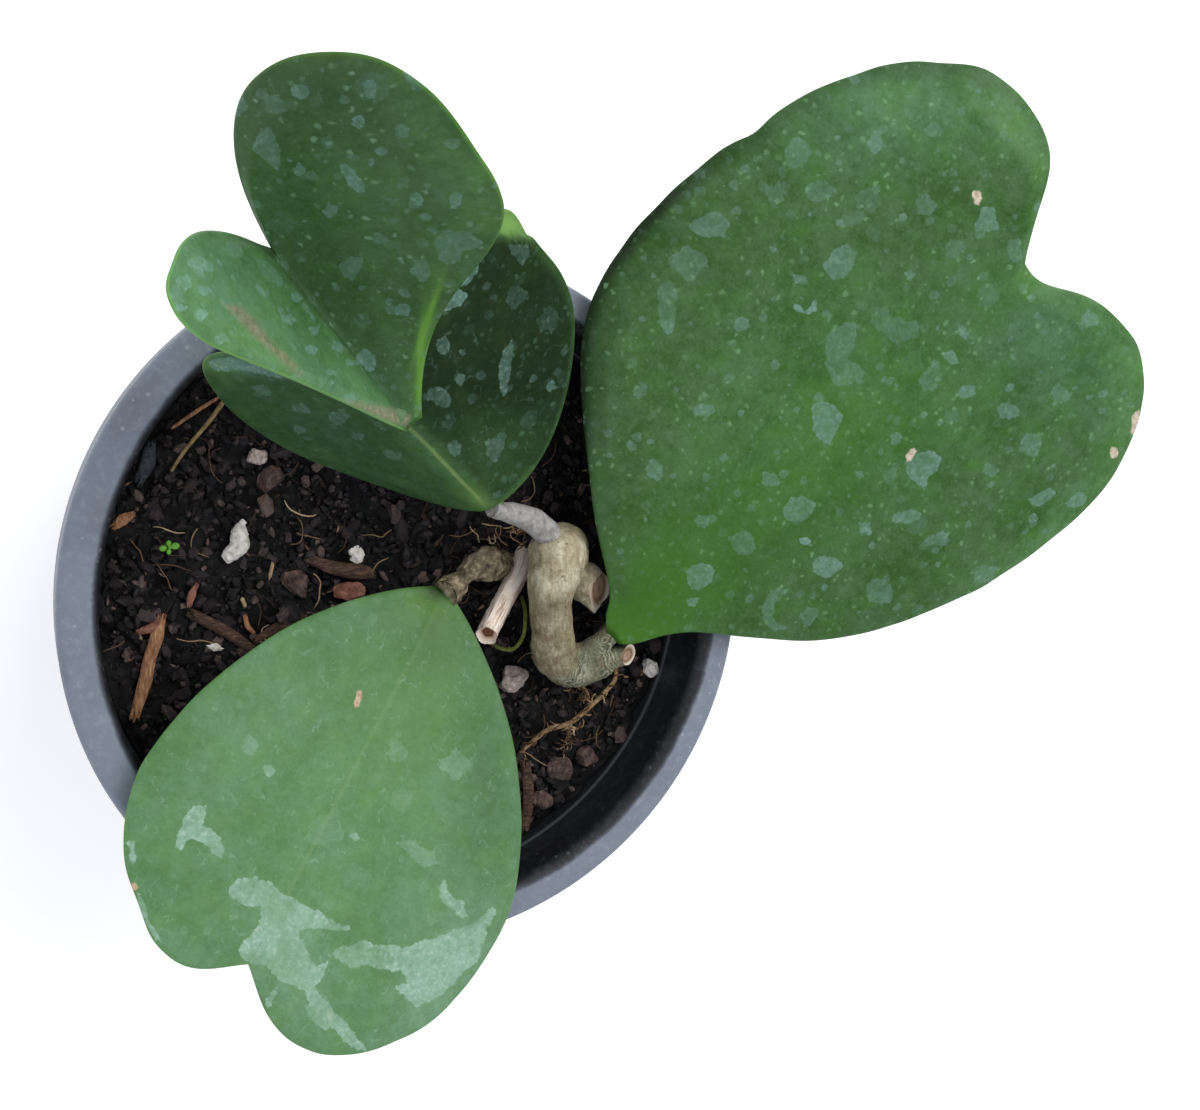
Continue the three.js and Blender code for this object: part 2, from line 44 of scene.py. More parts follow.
import bmesh
import bpy
import numpy as np
from mathutils import Matrix, Vector

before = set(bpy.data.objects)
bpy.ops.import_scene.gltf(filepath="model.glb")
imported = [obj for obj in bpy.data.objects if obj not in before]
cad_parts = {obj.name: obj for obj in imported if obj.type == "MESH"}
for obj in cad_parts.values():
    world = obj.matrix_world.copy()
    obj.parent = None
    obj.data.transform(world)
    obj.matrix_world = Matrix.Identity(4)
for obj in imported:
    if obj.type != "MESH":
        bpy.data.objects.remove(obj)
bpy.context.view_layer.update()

MM = 0.001
BODY = "root"
RIM_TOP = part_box("pot")[1].z / MM
RIM_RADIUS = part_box("pot")[1].x / MM
INNER_RADIUS = RIM_RADIUS - 7.4
FOOT_RADIUS = 44.4
WALL_FOOT = 45.8
WALL_TAPER = 0.1412
DRAIN_HOLES = dict(count=6, ring=33, radius=4.5)
# Height of the painted highlight line on the inner wall, where a moulded ledge would catch the light
LEDGE_HIGHLIGHT_HEIGHT = 96.6
MIX_LEVEL = 95

# The photograph's camera, in millimetres from the middle of the pot's underside
IMAGE_SIZE = (1200, 1110)
PIXELS_PER_MM = 5.2
FOCAL_PIXELS = 1600
SENSOR_WIDTH = 36
CAMERA_AT = np.array([-87.62, 44.73, 389.84])
CAMERA_RIGHT = np.array([0.9161, 0.0, 0.4009])
CAMERA_UP = np.array([0.0489, 0.9925, -0.1117])
CAMERA_BACK = np.array([-0.3979, 0.1219, 0.9093])

# Leaves, as in the solids. base is where the blade starts, heading and pitch give the midrib's
# direction, roll turns the blade about it, rise lifts the notch and twist one lobe. Each half has
# its width, where it is widest, the lobe's crown, the margin's angle at the base and in the notch,
# its fold away from the midrib, its cup and how full each stretch of the margin is.
NECK = 2.0
SPOKE_POWER = 0.75


def half(width, widest, crown_out, crown_along, base_angle, notch_angle, fold, cup, *full):
    """One half of a leaf as a dictionary of its named sizes."""
    return dict(width=width, widest=widest, crown_out=crown_out, crown_along=crown_along,
                base_angle=base_angle, notch_angle=notch_angle, fold=fold, cup=cup, full=full)


LEAVES = {
    "leaf_right": dict(
        base=(36.5, -8.5, 111.5), heading=45, pitch=13, roll=-2,
        midrib=105, rise=7.5, twist=3.5, fold_radius=3,
        left=half(54, 65.5, 23.5, 123, 54, 46, 0, -7, 0.65, 0.45, 0.6, 0.7, 0.85),
        right=half(53, 82.5, 26.5, 113, 33, 100, 0, -4, 0.3, 0.65, 0.5, 0.65, 1.15)),
    "leaf_front": dict(
        base=(4.5, 1.5, 106.5), heading=236, pitch=13, roll=-3,
        midrib=75, rise=-2.5, twist=-1, fold_radius=3,
        left=half(40.5, 50.5, 17.5, 83.5, 63, 50, 0, -0.5, 0.4, 0.35, 0.5, 0.55, 0.75),
        right=half(33, 52.5, 11, 79.5, 59, 64, 0, -0.5, 0.35, 0.35, 0.45, 0.45, 0.7)),
    "leaf_upper": dict(
        base=(-10, 34, 135.5), heading=133, pitch=17, roll=8,
        midrib=39.5, rise=2, twist=3.5, fold_radius=2.5,
        left=half(34, 48, 22.5, 53.5, 31, 29, -62, -1.5, 0.75, 0.15, 0.65, 0.55, 0.45),
        right=half(34, 43.5, 19, 65.5, 31, 8, -39, 3, 0.65, 0.5, 0.65, 0.45, 0.7)),
    "leaf_under": dict(
        base=(10, 17.5, 116.5), heading=135, pitch=20, roll=43,
        midrib=34.5, rise=3.5, twist=-4, fold_radius=2.5,
        left=half(35, 30.5, 20, 56.5, 96, 30, 37, 2, 0.35, 0.55, 0.55, 0.5, 0.6),
        right=half(35, 29.5, 19.5, 55, 98, 30, 35, -0.5, 0.35, 0.55, 0.55, 0.5, 0.6)),
}

# Bulges and dents of a margin: where along it, from 0 at the base to 3 in the notch, how far out or in
# along the spoke in millimetres, and how wide
MARGIN_NUDGES = {
    "leaf_right": dict(
        left=[(0.02, 1.2, 0.025), (0.065, -2.9, 0.07), (0.25, -0.8, 0.15), (1.11, 0.3, 0.03),
              (1.19, -0.8, 0.035)],
        right=[(0.04, 1.0, 0.05), (0.19, -0.6, 0.06), (0.44, 1.0, 0.12), (0.72, -0.7, 0.1)]),
    "leaf_front": dict(left=[], right=[]),
    "leaf_upper": dict(left=[(1.9, -0.6, 0.25)], right=[]),
    "leaf_under": dict(left=[(2.2, -1.6, 0.25)], right=[(0.8, 0.6, 0.2), (1.3, 2.3, 0.12)]),
}

# Stems, as in the solids. Each row of a path is x, y, z and radius.
WOODY_PATH = [
    (36.6, 5.8, 74, 4.2), (33.8, 6.2, 90, 4.6), (30.4, 7.4, 101, 5.4), (27.2, 7.4, 107.6, 5.9),
    (25.5, 2.8, 109, 4.8), (25.3, -1.8, 108.5, 4.4), (25.9, -7.6, 107.5, 4.5), (27.7, -12.8, 106, 4.6),
    (31, -15.2, 105.8, 4.2), (34.7, -14.7, 106.8, 3.2), (38, -13.2, 107.7, 2.3), (41.3, -12.8, 108.4, 2),
]
SIDE_STUB_PATH = [(28.6, 4.8, 105.4, 3.3), (31.2, 2.8, 106.2, 3.4), (33.6, 0.9, 106.9, 3.4),
                  (35.6, -0.8, 107.3, 3.2)]
RIGHT_PETIOLE = [(32, -13.4, 106.4, 3.3), (34.4, -11.6, 107.8, 2.9), (36.4, -9.2, 109.2, 2.2),
                 (38.6, -6.4, 109.8, 1.6)]
YOUNG_PATH = [
    (25.6, 9.6, 107.4, 1.8), (24.4, 11.6, 109.0, 2.5), (22.6, 13.1, 109.9, 2.6), (19.6, 15, 111, 2.4),
    (16.4, 16, 112.3, 2.1), (13.8, 16.7, 113.6, 1.8), (11, 17.5, 115.1, 1.6),
]
DRY_PATH = [(29, 13.4, 84, 2), (23.4, 3.8, 96.8, 2.1), (17.9, -2, 102, 1.9), (13.9, -6.4, 105.2, 1.95),
            (12.7, -7.5, 107, 2.05)]
ROUGH_PATH = [
    (22.2, 3.2, 86, 2.2), (20.6, 4, 94, 2.4), (17.8, 5, 98.6, 2.9), (14.5, 5.6, 101.2, 3.2),
    (11.6, 4.9, 102.4, 2.7), (9, 3.5, 104, 1.5), (6.8, 2, 105.4, 2.9), (4.6, 1, 107, 2.7),
]
UPPER_PETIOLE = [
    (12.4, 17.6, 114.6, 1.3), (11.2, 21.4, 112.8, 1.6), (4.6, 27.2, 116, 1.5), (-2, 33.5, 120.4, 1.5),
    (-9.1, 39.1, 124.9, 1.5), (-14, 42.5, 128.2, 1.5), (-18, 42.9, 131.9, 1.5), (-19, 41, 134.8, 1.6),
    (-16.6, 37.8, 136, 1.7), (-12, 35.2, 136, 1.6),
]
STRAW_PATH = [(-32.4, 38.6, 96.4, 0.5), (-36, 34, 97.6, 0.42), (-40.7, 28.4, 97, 0.36),
              (-43, 24.6, 95.4, 0.3)]
ROOT_PATHS = [
    [(23.4, -35, 94, 0.4), (25.6, -31.8, 96.6, 0.45), (29.1, -29.3, 97.2, 0.5), (33.7, -28.4, 97.2, 0.55),
     (38.1, -25.2, 97.6, 0.55), (41, -22.5, 98.2, 0.5), (43.4, -20, 98, 0.45), (44.6, -17, 95.6, 0.4)],
    [(33.7, -28.4, 97.2, 0.35), (33.4, -31.6, 96.8, 0.35), (32.6, -34, 95.2, 0.3)],
    [(38.1, -25.2, 97.6, 0.35), (37, -21.8, 97.6, 0.35), (34.4, -20, 95.6, 0.3)],
]
TENDRIL_PATH = [
    (17.6, -10.2, 94, 0.4), (18.6, -11.8, 97.4, 0.4), (21.2, -12, 98.6, 0.4), (23, -9.4, 99.4, 0.4),
    (23.6, -6.4, 99, 0.4), (24.2, -4.2, 97, 0.4), (24.6, -2.4, 94.2, 0.4),
]


# Numbers

def linear(colour):
    """An sRGB hex colour as the linear red, green, blue and alpha that Blender's sockets take."""
    channels = [int(colour[i:i + 2], 16) / 255 for i in (1, 3, 5)]
    return [c / 12.92 if c <= 0.04045 else ((c + 0.055) / 1.055) ** 2.4 for c in channels] + [1.0]


def hashed(cells):
    """A random number from -1 to 1 for each whole-number cell: its three numbers multiplied and mixed."""
    h = (cells[..., 0] * 73856093) ^ (cells[..., 1] * 19349663) ^ (cells[..., 2] * 83492791)
    h = ((h ^ (h >> 13)) * 1274126177) & 0x7FFFFFFF
    h = ((h ^ (h >> 15)) * 668265263) & 0x7FFFFFFF
    return h / 0x3FFFFFFF - 1


def noise(points, cell, seed=0, octaves=1):
    """Smooth random heights from -1 to 1: hashed lattice corners blended by the smooth step
    3t^2 - 2t^3, with each octave half as large and half as high as the one before."""
    total = np.zeros(points.shape[:-1])
    for octave in range(octaves):
        q = points * (2 ** octave / cell) + 31.7 * (seed + octave)
        low = np.floor(q).astype(np.int64)
        t = q - low
        t = t * t * (3 - 2 * t)
        for corner in np.ndindex(2, 2, 2):
            weight = np.prod(np.where(corner, t, 1 - t), axis=-1)
            total += hashed(low + corner) * weight * 0.5 ** octave
    return total


def smooth_step(value, low, high):
    """0 below low, 1 above high and 3t^2 - 2t^3 between them."""
    t = np.clip((value - low) / (high - low), 0, 1)
    return t * t * (3 - 2 * t)


def unit(vectors):
    """Vectors brought to length 1."""
    return vectors / np.maximum(np.linalg.norm(vectors, axis=-1, keepdims=True), 1e-12)


def turn_by(x, y, angle):
    """Coordinates turned about the origin of their plane by an angle in radians."""
    c, s = np.cos(angle), np.sin(angle)
    return x * c - y * s, x * s + y * c


def photo_pixels(points):
    """Where points in millimetres appear in the photograph: across and down from its top left corner."""
    offset = points - CAMERA_AT
    depth = -(offset @ CAMERA_BACK)
    across = IMAGE_SIZE[0] / 2 + FOCAL_PIXELS * (offset @ CAMERA_RIGHT) / depth
    down = IMAGE_SIZE[1] / 2 - FOCAL_PIXELS * (offset @ CAMERA_UP) / depth
    return across, down


# Meshes

def grid_faces(rows, columns, wrap=False):
    """The four-cornered faces of a grid of points, row by row. wrap joins its last column to its first."""
    i = np.arange(rows - 1)[:, None] * columns
    j = np.arange(columns if wrap else columns - 1)[None, :]
    k = (j + 1) % columns
    return np.stack([i + j, i + k, i + columns + k, i + columns + j], -1).reshape(-1, 4)


def join_parts(parts):
    """Several (points, faces, values) as one. Faces have like corners, and each value is in every part."""
    start = np.cumsum([0] + [len(p[0]) for p in parts])
    points = np.concatenate([p[0] for p in parts])
    faces = np.concatenate([p[1] + s for p, s in zip(parts, start)])
    values = {key: np.concatenate([p[2][key] for p in parts]) for key in parts[0][2]}
    return points, faces, values


def new_mesh(name, points, faces, values=None):
    """A mesh from arrays in millimetres, with doubles merged, faces pointing out and named values on its
    points."""
    mesh = bpy.data.meshes.new(name)
    mesh.vertices.add(len(points))
    mesh.vertices.foreach_set("co", (points * MM).astype(np.float32).ravel())
    mesh.loops.add(faces.size)
    mesh.loops.foreach_set("vertex_index", faces.astype(np.int32).ravel())
    mesh.polygons.add(len(faces))
    mesh.polygons.foreach_set("loop_start", np.arange(0, faces.size, faces.shape[1], dtype=np.int32))
    mesh.update(calc_edges=True)
    for key, value in (values or {}).items():
        flat = np.asarray(value, np.float32)
        kind, field = ("FLOAT_VECTOR", "vector") if flat.ndim == 2 else ("FLOAT", "value")
        mesh.attributes.new(key, kind, "POINT").data.foreach_set(field, flat.ravel())
    work = bmesh.new()
    work.from_mesh(mesh)
    bmesh.ops.remove_doubles(work, verts=work.verts, dist=1e-7)
    bmesh.ops.dissolve_degenerate(work, edges=work.edges, dist=1e-8)
    if work.calc_volume(signed=True) < 0:
        bmesh.ops.reverse_faces(work, faces=work.faces)
    work.to_mesh(mesh)
    work.free()
    return mesh


def add_piece(mesh, material, stands_for=(), smooth=True):
    """An object for a finished mesh, riding on the part's body and standing for the named solids."""
    piece = bpy.data.objects.new(mesh.name, mesh)
    bpy.context.scene.collection.objects.link(piece)
    mesh.materials.append(material)
    mesh.polygons.foreach_set("use_smooth", np.full(len(mesh.polygons), smooth))
    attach(piece, BODY)
    if stands_for:
        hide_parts(*stands_for)
    return piece


def mesh_points(mesh):
    """A mesh's points in millimetres."""
    flat = np.zeros(len(mesh.vertices) * 3)
    mesh.vertices.foreach_get("co", flat)
    return flat.reshape(-1, 3) / MM


def curve_points(path, t):
    """Places along a smooth curve through rows of x, y, z: a cubic on each span, whose end slopes
    follow from the square roots of the neighbouring spans' lengths."""
    knots = np.array([row[:3] for row in path], float)
    knots = np.vstack([2 * knots[0] - knots[1], knots, 2 * knots[-1] - knots[-2]])
    spans = len(path) - 1
    i = np.minimum((t * spans).astype(int), spans - 1)
    w = (t * spans - i)[:, None]
    p0, p1, p2, p3 = (knots[i + k] for k in range(4))
    pairs = ((p0, p1), (p1, p2), (p2, p3))
    d0, d1, d2 = (np.sqrt(np.linalg.norm(b - a, axis=1, keepdims=True)) for a, b in pairs)
    s1 = ((p1 - p0) / d0 - (p2 - p0) / (d0 + d1) + (p2 - p1) / d1) * d1
    s2 = ((p2 - p1) / d1 - (p3 - p1) / (d1 + d2) + (p3 - p2) / d2) * d1
    return p1 + s1 * w + (3 * (p2 - p1) - 2 * s1 - s2) * w ** 2 + (2 * (p1 - p2) + s1 + s2) * w ** 3


def carried_frames(tangents):
    """For each step of a path, two directions across it that turn as little as they can."""
    across = [unit(np.cross((0.3, 0.2, 1.0), tangents[0]))]
    for tangent in tangents[1:]:
        across.append(unit(across[-1] - tangent * (across[-1] @ tangent)))
    across = np.array(across)
    return across, np.cross(tangents, across)


def tube(path, rings, sides, swell=None, dish=0.0, end_rings=3):
    """A circle carried along a path of x, y, z, radius. swell(t, angle) scales its radius, and the
    last rings close it, sunk by dish at the far end. Values: along runs 0 to 1, around is the angle,
    and face is 0 on the side and the share of the radius, less 2, on the far cut face."""
    t = np.linspace(0, 1, rings)
    centre = curve_points(path, t)
    tangent = unit(np.gradient(centre, axis=0))
    across, other = carried_frames(tangent)
    radius = np.interp(t * (len(path) - 1), np.arange(len(path)), [row[3] for row in path])
    angle = np.linspace(0, 2 * np.pi, sides, endpoint=False)
    reach = radius[:, None] * (swell(t[:, None], angle[None, :]) if swell else np.ones((rings, sides)))
    circle = np.cos(angle)[None, :, None] * across[:, None] + np.sin(angle)[None, :, None] * other[:, None]
    side = centre[:, None] + reach[..., None] * circle
    shares = np.concatenate([[0.985], np.linspace(1, 0, end_rings + 1)[1:]])
    end_rings += 1
    far = [centre[-1] + s * (side[-1] - centre[-1]) - tangent[-1] * dish * (1 - s ** 4) for s in shares]
    near = [centre[0] + s * (side[0] - centre[0]) for s in shares[::-1]]
    points = np.concatenate([np.array(near), side, np.array(far)])
    rows = len(points)
    along = np.concatenate([np.zeros(end_rings), t, np.ones(end_rings)])
    face = np.concatenate([np.zeros(end_rings + rings), shares - 2])
    values = {
        "along": np.repeat(along, sides),
        "around": np.tile(angle, rows),
        "face": np.repeat(face, sides),
    }
    return points.reshape(-1, 3), grid_faces(rows, sides, wrap=True), values


# Materials

TIMES = {"operation": "MULTIPLY"}
PLUS = {"operation": "ADD"}
LESS = {"operation": "SUBTRACT"}
MOST = {"operation": "MAXIMUM"}
SMOOTH = {"interpolation_type": "SMOOTHSTEP"}
BLEND = {"data_type": "RGBA"}


def feed(socket, value):
    """Gives a socket a node's first output, a chosen output, a number, a vector or an sRGB hex colour."""
    if isinstance(value, bpy.types.Node):
        value = next(output for output in value.outputs if output.enabled)
    if isinstance(value, bpy.types.NodeSocket):
        socket.id_data.links.new(value, socket)
    else:
        socket.default_value = linear(value) if isinstance(value, str) else value


def node(tree, kind, *inputs, stops=(), **settings):
    """Adds a node with its settings and links. The inputs go to its sockets in order, and None leaves one
    as it is. stops are a colour ramp's places and sRGB hex colours."""
    made = tree.nodes.new("ShaderNode" + kind)
    for key, value in settings.items():
        setattr(made, key, value)
    for index, (place, colour) in enumerate(stops):
        elements = made.color_ramp.elements
        stop = elements[index] if index < 2 else elements.new(1.0)
        stop.position = place
        stop.color = linear(colour)
    for socket, value in zip([socket for socket in made.inputs if socket.enabled], inputs):
        if value is not None:
            feed(socket, value)
    return made


def new_material(name, **shader):
    """A material with one shader, whose plain values are set on its own sockets. Returns it, a function
    that adds a node to it, and the shader."""
    material = bpy.data.materials.new(name)
    material.use_nodes = True
    principled = material.node_tree.nodes["Principled BSDF"]
    for key, value in shader.items():
        principled.inputs[key.replace("_", " ").title().replace("Ior", "IOR")].default_value = value
    return material, partial(node, material.node_tree), principled


def dress(add, shader, colour, relief, depth, strength, roughness=None):
    """Joins a colour, a fine relief of a depth in millimetres, and roughness where it varies."""
    feed(shader.inputs["Base Color"], colour)
    if roughness is not None:
        feed(shader.inputs["Roughness"], roughness)
    feed(shader.inputs["Normal"], add("Bump", strength, depth * MM, None, relief))


def weighted(add, *shares):
    """The sum of several values, each times its share."""
    total = add("Math", *shares[-1], **TIMES)
    for value, share in reversed(shares[:-1]):
        total = add("Math", add("Math", value, share, **TIMES), total, **PLUS)
    return total


def place_mm(add):
    """The object's own coordinates in millimetres."""
    return add("VectorMath", add("TexCoord").outputs["Object"], 1 / MM, operation="SCALE")


def from_middle(add, value, amount):
    """Noise moved to swing about 0, times an amount."""
    return add("Math", add("Math", value, 0.5, **LESS), amount, **TIMES)


def film_of(add, inside, strength, soft=0.16, rim=0.45):
    """A dried film from how far inside it a place lies, in millimetres: even within, denser by rim on its
    edge, and fading over the width soft."""
    body = add("MapRange", inside, 0, soft, **SMOOTH)
    ring = add("Math", add("MapRange", inside, 0.12, 0.5, rim, 0, **SMOOTH), body, **TIMES)
    return add("Math", strength, add("Math", body, ring, **PLUS), **TIMES)


def spots(add, place, cell, share, smallest, largest, strongest, soft=0.16):
    """Dried drops, one at most in each cell: a share of the cells hold one, with a radius between the
    two sizes in millimetres. Each is a thin film of its own strength with a denser ring at its edge."""
    made = add("TexVoronoi", place, 1 / cell, voronoi_dimensions="2D")
    chance = add("SeparateColor", made.outputs["Color"]).outputs
    radius = add("MapRange", chance["Red"], 0, 1, smallest, largest, **SMOOTH)
    chosen = add("Math", chance["Green"], share, operation="LESS_THAN")
    inside = add("Math", radius, add("Math", made, cell, **TIMES), **LESS)
    strength = add("Math", add("Math", chance["Blue"], 1.7, operation="POWER"), strongest, **TIMES)
    return add("Math", chosen, film_of(add, inside, strength, soft), **TIMES)


def specks(add, place, cell, rarest, strength):
    """Hard dots, one at most in each cell of a size in millimetres, larger where chance passes rarest."""
    made = add("TexVoronoi", place, 1 / cell)
    chance = add("SeparateColor", made.outputs["Color"]).outputs
    size = add("MapRange", chance["Red"], rarest, 1, 0, 0.16, **SMOOTH)
    return add("Math", add("Math", made, size, operation="LESS_THAN"), strength, **TIMES)


def leaf_material(finish):
    """Living hoya leaf, grown with a thick waxy cuticle: a satin green with a soft wide sheen, mottled
    tissue, a yellower base, and hard-water drops and dust dried on as thin pale films. Light and shade are
    painted into the green too: painted highlights on rounded margins, a painted pale sheen, and lobes
    painted lighter where they turn to the light and darker where they lie in shade."""
    material, add, shader = new_material(
        finish["title"], roughness=0.46, specular_ior_level=finish["gloss"], ior=1.45,
        coat_weight=0.03, coat_roughness=0.3)
    blade = add("Attribute", attribute_name="blade").outputs["Vector"]
    glow, margin, shade_and_tone, painted_sheen, stain, film, cork = (
        add("Attribute", attribute_name=name).outputs["Fac"]
        for name in ("glow", "margin", "shade_and_tone", "painted_sheen", "stain", "film", "cork"))
    split = add("SeparateXYZ", blade).outputs
    upper = add("MapRange", split["Z"], -0.2, 0.2, **SMOOTH)

    # Tissue: mottled between two greens and yellower at its base. The glow marks are partly that yellower
    # base and partly painted highlights on rounded margins, the yellower rim along the margin is a painted
    # highlight on its rounded edge, and the pale midrib line is partly its own colour and partly a painted
    # highlight on its ridge
    cloud = add("TexNoise", blade, 1 / 14, 3)
    cells = add("TexNoise", blade, 1 / 2.4, 3, 0.6)
    grain = add("TexNoise", blade, 1 / 0.6, 3, 0.6)
    mottle = weighted(add, (cloud, 0.45), (cells, 0.35), (grain, 0.2))
    tissue = add("ValToRGB", mottle, stops=[(0.38, finish["deep"]), (0.62, finish["light"])])
    patches = add("MapRange", add("TexNoise", blade, 1 / 6, 4, 0.6), 0.45, 0.75, **SMOOTH)
    yellower = [
        add("Math", patches, finish["sallow"], **TIMES),
        add("Math", glow, 0.8, use_clamp=True, **TIMES),
        add("MapRange", margin, 0.05, 0.5, 0.3, 0, **SMOOTH),
    ]
    for share in yellower:
        tissue = add("Mix", share, tissue, finish["glow"], **BLEND)
    from_rib = add("Math", split["X"], operation="ABSOLUTE")
    rib = add("MapRange", from_rib, 0.1, 0.55, finish["rib"], 0, **SMOOTH)
    rib = add("Math", rib, add("MapRange", margin, 1, 4, **SMOOTH), **TIMES)
    tissue = add("Mix", rib, tissue, "#8ea366", **BLEND)
    # Painted light and shade: the tissue is scaled lighter where a lobe turns to the light and darker where
    # it lies in shade, with a little tone of the leaf's own
    tissue = add("VectorMath", tissue, shade_and_tone, operation="SCALE")
    # A painted pale sheen: where the sheen marks lie, the tissue is veiled with the film's pale colour
    dust_and_sheen = add("Math", painted_sheen, add("MapRange", cells, 0.3, 0.7, 0.6, 1, **SMOOTH), **TIMES)
    tissue = add("Mix", dust_and_sheen, tissue, finish["film"], **BLEND)

    # Small dried drops, strewn by chance over the blade's own two directions
    wobble = add("TexNoise", blade, 0.7, 1.5, noise_dimensions="2D").outputs["Color"]
    shift = add("VectorMath", wobble, (0.5, 0.5, 0.5), **LESS)
    moved, nudged = (
        add("VectorMath", shift, (far, far, 0), blade, operation="MULTIPLY_ADD") for far in (2.2, 1))
    shown = finish["specks"]
    drops = add("Math", spots(add, moved, 9.5, 0.5, 0.5, 2.3, 0.26 * shown, 0.3),
                spots(add, nudged, 3.6, 0.85, 0.3, 1.1, 0.42 * shown, 0.4), **MOST)
    dots = add("Math", spots(add, nudged, 1.9, 0.95, 0.2, 0.65, 0.5 * shown, 0.5), upper, **TIMES)
    dots = add("Math", dots, add("MapRange", cloud, 0.35, 0.6, 0.4, 1, **SMOOTH), use_clamp=True, **TIMES)
    bare = add("MapRange", glow, 0.1, 0.9, 1, 0.35, **SMOOTH)
    dots, drops = (add("Math", amount, bare, **TIMES) for amount in (dots, drops))

    # Films that follow the marks on the mesh, with frayed edges, worn thin in patches
    frayed = from_middle(add, add("TexNoise", blade, 1 / 1.6, 4, 0.6), 1.5)
    torn = from_middle(add, add("TexNoise", blade, 1 / 4, 4, 0.65), finish["torn"])
    within = add("Math", stain, add("Math", frayed, torn, **PLUS), **PLUS)
    thin = add("MapRange", add("TexNoise", blade, 1 / 9, 3, 0.6), 0.35, 0.65, finish["thin"], 1.1, **SMOOTH)
    placed = add("Math", film_of(add, within, film, 0.35, finish["rim"]), thin, **TIMES)
    patchy = add("MapRange", add("TexNoise", blade, 1 / 1.6, 5, 0.7), 0.32, 0.66, 0.5, 1.05, **SMOOTH)
    stain = add("Math", add("Math", drops, placed, **MOST), patchy, **TIMES)
    stain = add("Math", stain, upper, use_clamp=True, **TIMES)

    # Thin broken rings left by larger drops
    cell = add("TexVoronoi", moved, 1 / 5.2, voronoi_dimensions="2D")
    chance = add("SeparateColor", cell.outputs["Color"]).outputs
    radius = add("MapRange", chance["Red"], 0, 1, 0.8, 2.4, **SMOOTH)
    reach = add("Math", add("Math", cell, 5.2, **TIMES), radius, **LESS)
    broken = add("Math", add("MapRange", add("TexNoise", blade, 1 / 1.9, 3, 0.6), 0.48, 0.6, **SMOOTH),
                 add("Math", chance["Green"], 0.75, operation="LESS_THAN"), **TIMES)
    reach = add("Math", reach, operation="ABSOLUTE")
    line = add("MapRange", reach, 0.06, 0.22, finish["rings"], 0, **SMOOTH)
    ring = add("Math", add("Math", line, broken, **TIMES), upper, **TIMES)
    stain = add("Math", stain, ring, **MOST)

    # Colours, from the tissue out to the chalky film and the corky scabs
    chalk = add("MapRange", add("TexNoise", blade, 1 / 0.8, 4, 0.7), 0.5, 0.72, **SMOOTH)
    crusted = add("Mix", add("Math", chalk, finish["chalk"], **TIMES), finish["film"], "#cfd8cd", **BLEND)
    # Films are painted brighter where painted light lifts the tissue
    lit = add("Math", add("Math", shade_and_tone, 0.72, **TIMES), 1, **MOST)
    crusted = add("VectorMath", crusted, lit, operation="SCALE")
    colour = add("Mix", stain, add("Mix", dots, tissue, finish["dots"], **BLEND), crusted, **BLEND)
    scab_edge = add("Math", cork, add("Math", frayed, 0.8, **TIMES), **PLUS)
    corky = add("MapRange", scab_edge, -0.15, finish["cork_edge"], 0, finish["cork"], **SMOOTH)
    corky = add("Math", corky, upper, **TIMES)
    scab = add("ValToRGB", add("TexNoise", blade, 1 / 1.1, 4, 0.7),
               stops=[(0.3, finish["cork_dark"]), (0.7, finish["cork_light"])])
    colour = add("Mix", corky, colour, scab, **BLEND)
    under = add("Mix", 0.3, tissue, "#86a37c", **BLEND)
    colour = add("Mix", upper, under, colour, **BLEND)

    crust = add("Math", stain, corky, **MOST)
    satin = add("MapRange", grain, 0.2, 0.8, 0.4, 0.52, **SMOOTH)
    rough = add("Math", add("Math", crust, 0.25, **TIMES), satin, **PLUS)
    dress(add, shader, colour, weighted(add, (mottle, 0.6), (crust, 0.4)), 0.15, 0.5, rough)
    return material


